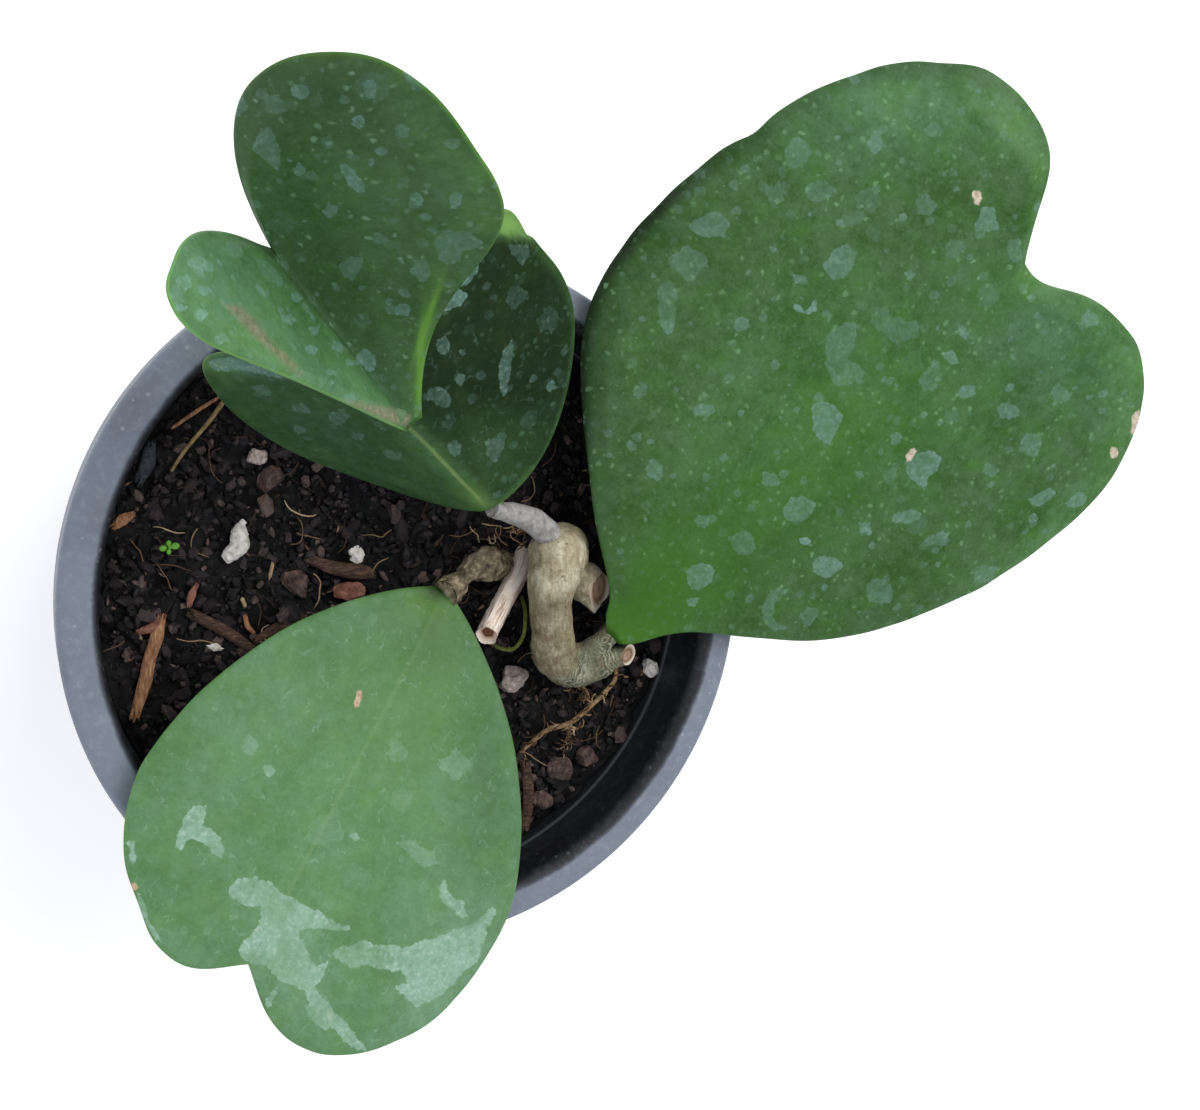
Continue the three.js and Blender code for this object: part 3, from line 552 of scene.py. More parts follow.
def pot_material(charcoal, chalky, dust):
    """Recycled polypropylene, injection moulded: near-black charcoal, chosen darker still as painted shade
    inside, and weathered to a chalky blue-grey on the rim and outside, the rim's chalk also a painted
    highlight of the sky. Painted shade lies under the lip and a painted highlight line on the inner wall
    where a moulded ledge would catch the light, with fine scuffs and pale specks of dried dust."""
    material, add, shader = new_material("Moulded polypropylene", roughness=0.5, specular_ior_level=0.3,
                                         ior=1.49)
    place = place_mm(add)
    split = add("SeparateXYZ", place).outputs
    radius = add("VectorMath", add("VectorMath", place, (1, 1, 0), **TIMES), operation="LENGTH")
    cloud = add("TexNoise", place, 1 / 12, 5, 0.6)

    # Chalky: the top of the rim, weathered and also a painted highlight of the sky, reaching further in on
    # the side towards negative x as a painted highlight on the inner lip, and faintly the wall outside
    wavy = from_middle(add, add("TexNoise", place, 1 / 7, 5), 0.8)
    lit_side = add("Math", split["X"], -0.011, **TIMES)
    edge = add("Math", add("Math", radius, wavy, **PLUS), lit_side, **PLUS)
    worn_and_lit = add("MapRange", edge, RIM_RADIUS - 6.2, RIM_RADIUS - 4.8, **SMOOTH)
    worn_and_lit = add("Math", worn_and_lit, add("MapRange", split["Z"], 97, 108, 0.6, 1, **SMOOTH), **TIMES)
    wall = add("Math", add("Math", split["Z"], WALL_TAPER, **TIMES), WALL_FOOT, **PLUS)
    outside = add("MapRange", add("Math", radius, wall, **LESS), -1, -0.4, 0, 0.3, **SMOOTH)
    outside = add("Math", outside, add("MapRange", split["Z"], 92, 95, 1, 0, **SMOOTH), **TIMES)
    faint = add("Math", outside, add("MapRange", cloud, 0.3, 0.7, 0.8, 1, **SMOOTH), **TIMES)
    worn_and_lit = add("Math", worn_and_lit, faint, **MOST)
    base = add("Mix", worn_and_lit, charcoal, chalky, **BLEND)
    blotch = add("Math", add("MapRange", cloud, 0.4, 0.75, 0, 0.4, **SMOOTH),
                 add("MapRange", worn_and_lit, 0.2, 0.6, 0.15, 1, **SMOOTH), **TIMES)
    base = add("Mix", blotch, base, "#5d626b", **BLEND)
    # Painted shade: the inner wall darkens towards the lip where it is not chalky
    lip_shade = add("Math", worn_and_lit, add("MapRange", split["Z"], 100, 106, 1, 0.5, **SMOOTH), **MOST)
    base = add("VectorMath", base, lip_shade, operation="SCALE")

    # A painted highlight line on the inner wall, where a moulded ledge would catch the light, then dust and
    # scuffs
    above = add("Math", add("Math", split["Z"], LEDGE_HIGHLIGHT_HEIGHT, **LESS), operation="ABSOLUTE")
    ledge_highlight = add("Math", add("MapRange", above, 0.2, 1, 0.45, 0, **SMOOTH),
               add("Math", radius, RIM_RADIUS - 6, operation="LESS_THAN"), **TIMES)
    base = add("Mix", ledge_highlight, base, "#8b8f95", **BLEND)
    dust_and_sheen = add("MapRange", add("TexNoise", place, 1 / 1.6, 6, 0.75), 0.46, 0.8, 0, dust, **SMOOTH)
    pale = add("Math", add("Math", specks(add, place, 2.2, 0.2, 0.45), dust_and_sheen, **MOST),
               add("MapRange", worn_and_lit, 0, 1, 0.25, 1, **SMOOTH), **TIMES)
    scuff = add("TexNoise", place, 1 / 0.6, 3, 0.7)
    dress(add, shader, add("Mix", pale, base, "#a9afb8", **BLEND), scuff, 0.04, 0.5,
          add("MapRange", scuff, 0.3, 0.7, 0.42, 0.6, **SMOOTH))
    return material


def mix_material(name, stops, grit, gloss):
    """Damp potting mix, composted bark and husk: near black with brown flecks, matte, with a few
    wet grains that catch the light. The tint value says which stop a chip takes."""
    material, add, shader = new_material(name, roughness=0.85, specular_ior_level=0.2)
    place = place_mm(add)
    grain = add("TexNoise", place, 1 / grit, 4, 0.65)
    tint = add("Attribute", attribute_name="tint").outputs["Fac"]
    tint = add("Math", tint, from_middle(add, grain, 0.35), use_clamp=True, **PLUS)
    wet = add("MapRange", add("TexNoise", place, 1 / 3, 2), 0.3, 0.7, gloss, 0.95, **SMOOTH)
    dress(add, shader, add("ValToRGB", tint, stops=stops), grain, 0.3, 0.8, wet)
    return material


def bark_material():
    """Bark of a young hoya vine: thin, smooth and olive beige, green-grey where it bends, with fine
    wrinkles, tiny dark warts and brown scars, and pale wood ringed with brown where it was cut. The limb
    beyond the knob takes a darker copy of the bark as painted shade, and the wrinkles' troughs are
    painted darker as painted shade in the creases."""
    material, add, shader = new_material("Smooth vine bark", roughness=0.6, specular_ior_level=0.3)
    along, face, green, wrinkle, old = (
        add("Attribute", attribute_name=name).outputs["Fac"]
        for name in ("along", "face", "green", "wrinkle", "old"))
    place = place_mm(add)
    cloud = add("TexNoise", place, 1 / 4.5, 4, 0.6)
    streak = add("TexNoise", add("VectorMath", place, (1, 0.3, 1), **TIMES), 1 / 0.9, 4, 0.65)
    grain = add("TexNoise", place, 1 / 0.5, 4, 0.7)
    mottle = weighted(add, (cloud, 0.4), (streak, 0.35), (grain, 0.25))
    beige = add("ValToRGB", mottle, stops=[(0.38, "#7e7159"), (0.5, "#a69c80"), (0.62, "#c9c2ac")])
    # A darker copy of the beige, as painted shade on the limb beyond the knob
    shaded_bark = add("ValToRGB", mottle, stops=[(0.38, "#5c5039"), (0.5, "#82785e"), (0.62, "#a79e84")])
    # The green-grey follows the wrinkles and is painted darker in their troughs: painted shade in the
    # creases
    lines = add("Math", add("Math", wrinkle, 0.2, **TIMES), mottle, **PLUS)
    mossy = add("ValToRGB", lines, stops=[(0.3, "#34382c"), (0.48, "#61634f"), (0.72, "#9fa18a")])
    wood = add("ValToRGB", face, stops=[
        (0, "#84664c"), (0.35, "#b09176"), (0.6, "#7d6048"), (0.76, "#bba68b"), (0.9, "#e6dccd")])
    warts = specks(add, place, 1.5, 0.45, 0.65)
    scars = add("MapRange", add("TexNoise", place, 1 / 2.4, 5, 0.75), 0.56, 0.7, **SMOOTH)
    from_joint = add("Math", add("Math", along, 0.605, **LESS), operation="ABSOLUTE")
    joint = add("Math", add("MapRange", from_joint, 0, 0.022, 0.7, 0, **SMOOTH),
                add("MapRange", cloud, 0.4, 0.6, **SMOOTH), **TIMES)
    layers = [
        (old, shaded_bark),
        (green, mossy),
        (warts, "#4f3f2c"),
        (add("Math", scars, 0.6, **TIMES), "#6a4c34"),
        (joint, "#5e432c"),
        (add("MapRange", along, 0.16, 0.26, 0.75, 0, **SMOOTH), "#3a3024"),
        (add("MapRange", face, 0.01, 0.05, **SMOOTH), wood),
    ]
    colour = beige
    for share, layer in layers:
        colour = add("Mix", share, colour, layer, **BLEND)
    dress(add, shader, colour, weighted(add, (mottle, 0.8), (warts, 0.4)), 0.2, 0.6)
    return material


def plain_material(name, stops, size, relief, roughness=0.8, stretch=(1, 1, 1)):
    """Matter with one plain grain, such as bark, a root, a seed leaf or perlite: nearly matte, and mottled
    between its stops by the same noise that gives its relief."""
    material, add, shader = new_material(name, roughness=roughness, specular_ior_level=0.3)
    grain = add("TexNoise", add("VectorMath", place_mm(add), stretch, **TIMES), 1 / size, 5, 0.65)
    dress(add, shader, add("ValToRGB", grain, stops=stops), grain, relief, 0.8)
    return material


def stub_material():
    """A dead, dried petiole: grey-pink fibres that run along it, bleached at the cut, round a brown
    hollow pith."""
    material, add, shader = new_material("Dried fibrous stub", roughness=0.85, specular_ior_level=0.25)
    around, along, face = (
        add("Attribute", attribute_name=name).outputs["Fac"] for name in ("around", "along", "face"))
    strand = add("CombineXYZ", add("Math", around, 2.2, **TIMES), add("Math", along, 1.6, **TIMES))
    fibre = add("TexNoise", strand, 2.6, 4, 0.7)
    skin = add("ValToRGB", fibre, stops=[(0.34, "#9c8172"), (0.46, "#ead4c3"), (0.6, "#fff6ec")])
    pith = add("ValToRGB", face, stops=[
        (0, "#5b3a2a"), (0.3, "#8a5d47"), (0.5, "#5d3a2b"),
        (0.62, "#c9a68d"), (0.8, "#ead9c8"), (1, "#f6ece0")])
    colour = add("Mix", add("MapRange", face, 0.01, 0.05, **SMOOTH), skin, pith, **BLEND)
    relief = add("Math", fibre, add("TexNoise", place_mm(add), 1 / 0.5, 3), **PLUS)
    dress(add, shader, colour, relief, 0.25, 0.8)
    return material


# Leaves

def half_outline(sizes, midrib, s):
    """One half of a leaf's margin for s from 0 at the base to 3 in the notch: three cubic curves, from
    the neck to the widest place, on to the lobe's crown, and back into the notch."""
    width, widest, full = sizes["width"], sizes["widest"], sizes["full"]
    crown_out, crown_along = sizes["crown_out"], sizes["crown_along"]
    lead = full[0] * math.hypot(width - NECK, widest)
    into = full[4] * (crown_along - midrib)
    base, notch = math.radians(sizes["base_angle"]), math.radians(sizes["notch_angle"])
    knots = np.array([
        [(NECK, 0), (NECK + lead * math.sin(base), lead * math.cos(base)), (width, widest * (1 - full[1])),
         (width, widest)],
        [(width, widest), (width, widest + full[2] * (crown_along - widest)),
         (crown_out + full[2] * (width - crown_out), crown_along), (crown_out, crown_along)],
        [(crown_out, crown_along), (crown_out * (1 - full[3]), crown_along),
         (into * math.sin(notch), midrib + into * math.cos(notch)), (0, midrib)],
    ])
    which = np.minimum(s.astype(int), 2)
    t = (s - which)[:, None]
    p0, p1, p2, p3 = (knots[which, k] for k in range(4))
    return p0 * (1 - t) ** 3 + 3 * p1 * t * (1 - t) ** 2 + 3 * p2 * t * t * (1 - t) + p3 * t ** 3


def leaf_surface(leaf, x, y):
    """The leaf's middle surface: x out from the midrib and y along it, lifted by rise, twist and cup,
    folded about a rounded midrib, then turned to the leaf's heading, pitch and roll."""
    def pick(key):
        return np.where(x > 0, leaf["right"][key], leaf["left"][key])

    fold = np.radians(pick("fold"))
    away = np.hypot(x, leaf["fold_radius"]) - leaf["fold_radius"]
    u = y / leaf["midrib"]
    twist, cup = leaf["twist"] * x * u / leaf["midrib"], pick("cup") * (2 * x / leaf["midrib"]) ** 2
    lift = leaf["rise"] * u * u + twist + cup
    out = np.sign(x) * (np.abs(x) - away * (1 - np.cos(fold)))
    up = lift - np.sin(fold) * away
    heading, pitch, roll = (math.radians(leaf[k]) for k in ("heading", "pitch", "roll"))
    along = np.array([math.cos(pitch) * math.cos(heading), math.cos(pitch) * math.sin(heading),
                      math.sin(pitch)])
    level = np.array([math.sin(heading), -math.cos(heading), 0.0])
    upright = np.cross(level, along)
    right = level * math.cos(roll) + upright * math.sin(roll)
    normal = upright * math.cos(roll) - level * math.sin(roll)
    return np.array(leaf["base"]) + out[..., None] * right + y[..., None] * along + up[..., None] * normal


def leaf_normals(leaf, x, y):
    """Directions square to the leaf's middle surface, from its slopes both ways."""
    step = 0.2
    dx = leaf_surface(leaf, x + step, y) - leaf_surface(leaf, x - step, y)
    dy = leaf_surface(leaf, x, y + step) - leaf_surface(leaf, x, y - step)
    return unit(np.cross(dx, dy))


def soft_spots(across, down, marks):
    """Sum of soft bumps: each mark's amount times exp(-d^2), with d measured in its two half sizes. A mark
    is its amount, middle and half sizes in photograph pixels, and its turn in degrees."""
    total = np.zeros(across.shape)
    for amount, middle_x, middle_y, half_x, half_y, turn in marks:
        dx, dy = turn_by(across - middle_x, down - middle_y, -math.radians(turn))
        total += amount * np.exp(-(dx / half_x) ** 2 - (dy / half_y) ** 2)
    return total


def corners(numbers):
    """An outline's corners as rows of across and down."""
    return np.reshape(numbers, (-1, 2)).astype(float)


def round_outline(x, y, half_x, half_y, turn, rng, count=11):
    """A drop's outline: an ellipse whose corners are each pushed in or out a little."""
    a = np.linspace(0, 2 * np.pi, count, endpoint=False)
    r = rng.uniform(0.72, 1.15, count)
    out, up = turn_by(half_x * r * np.cos(a), half_y * r * np.sin(a), math.radians(turn))
    return np.stack([x + out, y + up], -1)


def outline_depth(across, down, outlines):
    """How far inside the nearest closed outline each place lies, in millimetres on the leaf and below 0
    outside, and that outline's strength: the least distance to its edges, signed by the crossing rule."""
    depth, strength = np.full(across.shape, -9.0), np.zeros(across.shape)
    for amount, outline in outlines:
        low, high = outline.min(0) - 12, outline.max(0) + 12
        near = np.nonzero((across > low[0]) & (across < high[0]) & (down > low[1]) & (down < high[1]))[0]
        p = np.stack([across[near], down[near]], -1)[:, None]
        start, end = outline[None], np.roll(outline, -1, 0)[None]
        edge = end - start
        t = np.clip(((p - start) * edge).sum(-1) / np.maximum((edge ** 2).sum(-1), 1e-9), 0, 1)
        away = np.linalg.norm(p - start - t[..., None] * edge, axis=-1).min(1) / PIXELS_PER_MM
        above = (start[..., 1] > p[..., 1]) != (end[..., 1] > p[..., 1])
        rise = np.where(edge[..., 1] == 0, 1e-9, edge[..., 1])
        crossed = above & (p[..., 0] < start[..., 0] + (p[..., 1] - start[..., 1]) * edge[..., 0] / rise)
        signed = np.where(crossed.sum(1) % 2 == 1, away, -away)
        better = signed > depth[near]
        depth[near[better]] = signed[better]
        strength[near[better]] = amount
    return depth, strength


def blade(leaf, nudges, settings, rows, columns, relief, bend_down):
    """A leaf blade as a closed surface: spokes from the midrib to the margin, thinning towards it, with
    the margin rounded as a quarter ellipse over its edge's width on both faces and waving in and out.
    relief(x, y, off) lifts the upper face and bend_down(x, y, off) lowers both, off being
    the distance from the margin."""
    edge = settings.edge
    s = np.linspace(0, 3, rows)
    rib = leaf["midrib"] * (s / 3) ** SPOKE_POWER
    bend = np.linspace(0, np.pi / 2, 7)[1:]
    flat = np.linspace(0, 1, columns)
    sides = []
    for sign, key in ((-1, "left"), (1, "right")):
        margin = half_outline(leaf[key], leaf["midrib"], s)
        ripple = noise(np.stack([margin[:, 0], margin[:, 1], sign + 0 * s], -1), 11, rows, 2)
        ripple = ripple * np.sin(np.pi * s / 3)
        spoke = unit(margin - np.stack([0 * rib, rib], -1))
        pushed = sum(far * np.exp(-((s - at) / wide) ** 2) for at, far, wide in nudges[key])
        margin = margin + spoke * (settings.wave * ripple + pushed)[:, None]
        length = np.maximum(np.hypot(margin[:, 0], margin[:, 1] - rib), 1e-6)
        rounding = np.minimum(edge, 0.5 * length) / length
        v = np.hstack([flat * (1 - rounding[:, None]), 1 - rounding[:, None] * (1 - np.sin(bend))])
        h = np.hstack([np.ones((rows, columns)), np.tile(np.cos(bend), (rows, 1))])
        x = sign * v * margin[:, :1]
        y = rib[:, None] + v * (margin[:, 1:] - rib[:, None])
        close = np.sqrt(1 - (1 - np.clip(length / edge, 0, 1)) ** 2)[:, None]
        off = length[:, None] * (1 - v)
        sides.append((x, y, h * close, off))
    x, y, h, off = (np.hstack([left[:, :0:-1], right]) for left, right in zip(*sides))
    h = h * np.sqrt(np.maximum(1 - (1 - np.clip(y / edge, 0, 1)) ** 2, 0))
    off = np.minimum(off, np.maximum(y, 0))
    normal = leaf_normals(leaf, x, y)
    middle = leaf_surface(leaf, x, y) - normal * bend_down(x, y, off)[..., None]
    thick = 0.5 * settings.thickness * h * (0.4 + 0.6 * smooth_step(off, 0, 9))
    top = middle + normal * (thick + relief(x, y, off) * h)[..., None]
    low = middle - normal * thick[..., None]
    points = np.concatenate([top, low[:, -2:0:-1]], axis=1)
    side = np.concatenate([np.ones_like(x), -np.ones_like(x[:, 1:-1])], axis=1)

    def loop(a):
        return np.concatenate([a, a[:, -2:0:-1]], axis=1)

    side = side * loop(h > 0.05)
    values = {
        "blade": np.stack([loop(x), loop(y), side], -1).reshape(-1, 3),
        "margin": loop(off).ravel(),
    }
    return points.reshape(-1, 3), grid_faces(rows, points.shape[1], wrap=True), values


# Each leaf's finish: its tissue's two greens and the yellower green of its base, the colours of its films
# and dots, and how strongly each mark shows
USUAL_FINISH = dict(
    slot="leaf_green", rib=0, rim=0.25, torn=1, thin=0.8, chalk=0.2, gloss=0.16,
    cork=0.7, cork_dark="#6a5f4c", cork_light="#a79e84")
LEAF_FINISHES = {
    "leaf_right": USUAL_FINISH | dict(
        title="Waxy leaf, mid green", deep="#315423", light="#4c6d45", glow="#43741c", film="#6e9184",
        dots="#7aa577", specks=1.15, sallow=0.3, rings=0.12, torn=0.8,
        cork=1, cork_edge=0.2, cork_dark="#a08f78", cork_light="#e3d8c4"),
    # The front leaf's paler greens are partly its own colour and partly painted light: the bright sky's
    # reflection on its upturned face
    "leaf_front": USUAL_FINISH | dict(
        title="Waxy leaf, pale green", deep="#4f7647", light="#628862", glow="#648f3c", film="#98b8a6",
        dots="#8bb488", specks=0.3, sallow=0.25, rings=0.22, torn=3.2, rim=0.2, rib=0.1, thin=0.55,
        chalk=0.5, cork=1, cork_edge=0.2, cork_dark="#8f7458", cork_light="#d6c2a4",
        slot="leaf_light_green"),
    "leaf_upper": USUAL_FINISH | dict(
        title="Waxy leaf, deep green", deep="#33532a", light="#466740", glow="#6b9c3a", film="#668a7d",
        dots="#7aa080", specks=1.4, sallow=0.1, rings=0.15, gloss=0.14, cork_edge=1.8),
    "leaf_under": USUAL_FINISH | dict(
        title="Waxy leaf, shaded green", deep="#304f29", light="#42603c", glow="#7a9c50", film="#688b80",
        dots="#648a68", specks=0.6, sallow=0.12, rings=0.12, gloss=0.07, rib=0.35, chalk=0.4,
        cork_edge=0.8),
}

# Marks seen on each leaf, in photograph pixels. A film is its strength and its outline as across, down,
# across, down. A drop is its strength, place, two half sizes and turn, and is made denser. Cork is
# a list of outlines, and glow, light and shade, and sheen are soft spots: glow is yellower tissue at the
# base and painted highlights on rounded margins, light and shade is painted light and shade with a
# little tone of the leaf's own, and sheen is a painted pale sheen. Shown is how strongly the films show.
LEAF_MARKS = {}
LEAF_MARKS["leaf_right"] = dict(
    denser=1.5, shown=1,
    films=[
        (0.5, 833, 248, 846, 243, 857, 250, 857, 261, 848, 275, 837, 282, 826, 275, 821, 264, 830, 257),
        (0.5, 790, 277, 801, 272, 808, 278, 807, 287, 798, 284),
        (0.8, 790, 302, 798, 305, 805, 311, 810, 305, 814, 296, 819, 302, 817, 311, 808, 315, 796, 312),
        (0.34, 826, 334, 841, 323, 857, 321, 857, 337, 849, 359, 867, 373, 862, 379, 846, 388, 832, 384,
         826, 370, 824, 352),
        (0.4, 903, 273, 910, 267, 916, 274, 910, 282),
        (0.5, 973, 230, 982, 207, 994, 207, 1000, 230, 985, 234),
        (0.35, 917, 380, 928, 366, 941, 359, 942, 380, 932, 393, 923, 391),
        (0.55, 941, 352, 953, 350, 960, 362, 951, 366, 942, 359),
        (0.4, 955, 323, 960, 320, 969, 334, 966, 341, 959, 334),
        (0.25, 841, 216, 857, 209, 867, 214, 860, 225, 844, 227),
        (0.6, 811, 403, 822, 400, 836, 404, 843, 414, 841, 428, 831, 443, 824, 446, 812, 430),
        (0.7, 903, 462, 915, 452, 930, 450, 942, 458, 938, 470, 929, 478, 925, 492, 917, 484, 906, 475),
        (0.5, 781, 510, 790, 498, 805, 495, 816, 502, 812, 515, 798, 526, 785, 520),
        (0.65, 811, 560, 820, 555, 835, 556, 843, 566, 838, 575, 824, 580, 812, 572),
        (0.55, 685, 575, 692, 564, 705, 562, 716, 570, 712, 582, 700, 592, 690, 590),
        (0.5, 686, 600, 692, 596, 699, 598, 695, 607, 687, 606),
        (0.3, 733, 535, 742, 529, 752, 533, 758, 548, 750, 558, 738, 555, 730, 545),
        (0.6, 1028, 500, 1038, 492, 1052, 487, 1056, 495, 1045, 505, 1033, 508),
        (0.55, 1026, 514, 1036, 512, 1040, 519, 1033, 526, 1026, 522),
        (0.35, 760, 608, 768, 592, 785, 584, 790, 590, 775, 603, 775, 620, 788, 628, 775, 632, 763, 622),
    ],
    drops=[(0.3, 707, 226, 22, 15, 0), (0.22, 668, 300, 12, 26, 0), (0.2, 688, 262, 20, 18, 0),
           (0.6, 805, 541, 7, 6, 0), (0.35, 875, 143, 8, 15, 10), (0.25, 797, 152, 14, 18, 0),
           (0.3, 1030, 446, 12, 14, 0), (0.35, 1008, 411, 13, 10, 0), (0.3, 897, 438, 8, 8, 0),
           (0.4, 865, 528, 9, 9, 0), (0.3, 908, 518, 15, 9, 0), (0.25, 880, 590, 15, 17, 0),
           (0.35, 968, 392, 10, 9, 0), (0.25, 925, 205, 12, 12, 0), (0.3, 741, 325, 9, 9, 0),
           (0.3, 668, 322, 8, 14, 0), (0.22, 934, 130, 12, 9, 0), (0.25, 1015, 250, 10, 14, 0),
           (0.28, 1090, 320, 12, 9, 20), (0.3, 1060, 395, 10, 12, 0), (0.3, 1072, 527, 8, 7, 0),
           (0.35, 1078, 500, 14, 9, -20), (0.25, 770, 480, 12, 9, 0), (0.3, 655, 470, 10, 12, 0),
           (0.25, 640, 390, 9, 9, 0), (0.3, 705, 410, 12, 8, 0), (0.2, 900, 330, 20, 16, 0),
           (0.25, 700, 520, 9, 9, 0), (0.3, 940, 540, 13, 10, 0), (0.25, 985, 575, 15, 10, -20),
           (0.3, 990, 470, 9, 8, 0), (0.2, 820, 190, 16, 12, 0)],
    cork=[
        (972, 192, 980, 190, 982, 198, 979, 206, 973, 203),
        (1132, 414, 1139, 410, 1141, 425, 1137, 437, 1131, 432),
        (1110, 449, 1116, 446, 1119, 453, 1115, 460, 1110, 457),
        (905, 456, 912, 446, 917, 451, 912, 460, 907, 461),
    ],
    glow=[(0.9, 628, 628, 46, 26, -15), (0.6, 660, 590, 70, 60, -30), (0.35, 740, 540, 110, 60, -35),
          (0.5, 975, 465, 9, 5, 0), (0.35, 850, 430, 110, 60, -30), (0.3, 1010, 285, 40, 25, 0)],
    shade_and_tone=[(0.3, 930, 105, 110, 50, 0), (0.2, 1080, 350, 60, 60, 0), (-0.1, 690, 230, 60, 60, 0),
          (-0.15, 740, 570, 130, 60, 0), (-0.15, 610, 440, 40, 140, 0), (0.12, 830, 370, 110, 90, 0),
          (-0.14, 650, 605, 50, 36, 0)],
    painted_sheen=[(0.16, 1060, 340, 70, 60, 0), (0.14, 900, 110, 110, 50, -10)])
LEAF_MARKS["leaf_front"] = dict(
    denser=1, shown=1,
    films=[
        (0.7, 229, 890, 238, 878, 255, 875, 272, 883, 282, 895, 302, 902, 319, 910, 331, 920, 356, 929, 336,
         932, 316, 929, 302, 932, 304, 947, 316, 966, 331, 956, 326, 976, 316, 988, 336, 1010, 356, 1035,
         365, 1050, 351, 1050, 331, 1027, 311, 1005, 297, 986, 282, 983, 267, 966, 250, 966, 238, 956, 243,
         939, 257, 929, 262, 917, 260, 907, 243, 907, 230, 900),
        (0.72, 331, 954, 338, 947, 351, 942, 365, 939, 375, 947, 395, 944, 414, 944, 434, 939, 454, 929,
         471, 922, 483, 912, 495, 907, 493, 922, 483, 947, 471, 966, 459, 981, 444, 993, 429, 1000, 414,
         1010, 407, 1000, 395, 986, 407, 983, 400, 971, 380, 971, 365, 966, 351, 969, 341, 964),
        (0.75, 184, 819, 194, 807, 208, 803, 206, 814, 201, 826, 213, 831, 223, 839, 228, 851, 223, 863,
         213, 856, 201, 841, 189, 839, 179, 848, 175, 841),
        (0.4, 395, 841, 414, 841, 434, 851, 437, 863, 424, 868, 410, 856),
        (0.7, 441, 878, 446, 875, 449, 893, 464, 902, 468, 917, 459, 917, 446, 907, 439, 893),
        (0.6, 262, 766, 270, 765, 276, 772, 270, 779, 263, 774),
        (0.6, 348, 834, 355, 830, 361, 839, 353, 841),
        (0.7, 267, 1010, 266, 1000, 277, 983, 283, 981, 273, 1000, 270, 1015),
        (0.95, 242, 940, 252, 934, 264, 944, 276, 962, 268, 966, 252, 965, 240, 956),
        (0.95, 176, 838, 186, 831, 192, 838, 182, 848, 176, 846),
        (0.9, 207, 877, 212, 875, 214, 882, 208, 884),
        (0.8, 128, 842, 134, 842, 138, 862, 130, 868),
        (0.6, 137, 893, 144, 905, 156, 930, 168, 950, 162, 948, 148, 930, 138, 908),
        (0.5, 300, 1004, 318, 1006, 330, 1030, 322, 1030),
        (0.8, 352, 1036, 364, 1042, 366, 1052, 354, 1050),
    ],
    drops=[(0.3, 218, 742, 4, 3, 0), (0.5, 376, 1030, 6, 5, 0), (0.3, 455, 765, 15, 18, 0),
           (0.3, 250, 745, 10, 12, 0), (0.25, 398, 752, 12, 12, 0), (0.3, 234, 917, 6, 5, 0),
           (0.18, 400, 800, 14, 12, 0), (0.2, 325, 830, 20, 17, 0)],
    cork=[
        (356, 692, 361, 688, 363, 696, 359, 706, 355, 712, 353, 702),
        (126, 884, 134, 882, 140, 887, 136, 891, 128, 890),
    ],
    glow=[(0.8, 432, 600, 26, 16, 0), (0.35, 420, 680, 60, 90, 20)],
    shade_and_tone=[(-0.22, 430, 640, 80, 50, 0), (-0.2, 490, 780, 40, 110, 0), (0.08, 300, 900, 90, 90, 0),
          (0.06, 340, 780, 90, 60, 0), (-0.75, 437, 588, 17, 16, 0)],
    painted_sheen=[(0.3, 440, 980, 40, 90, 30), (0.2, 290, 960, 50, 60, 0)])
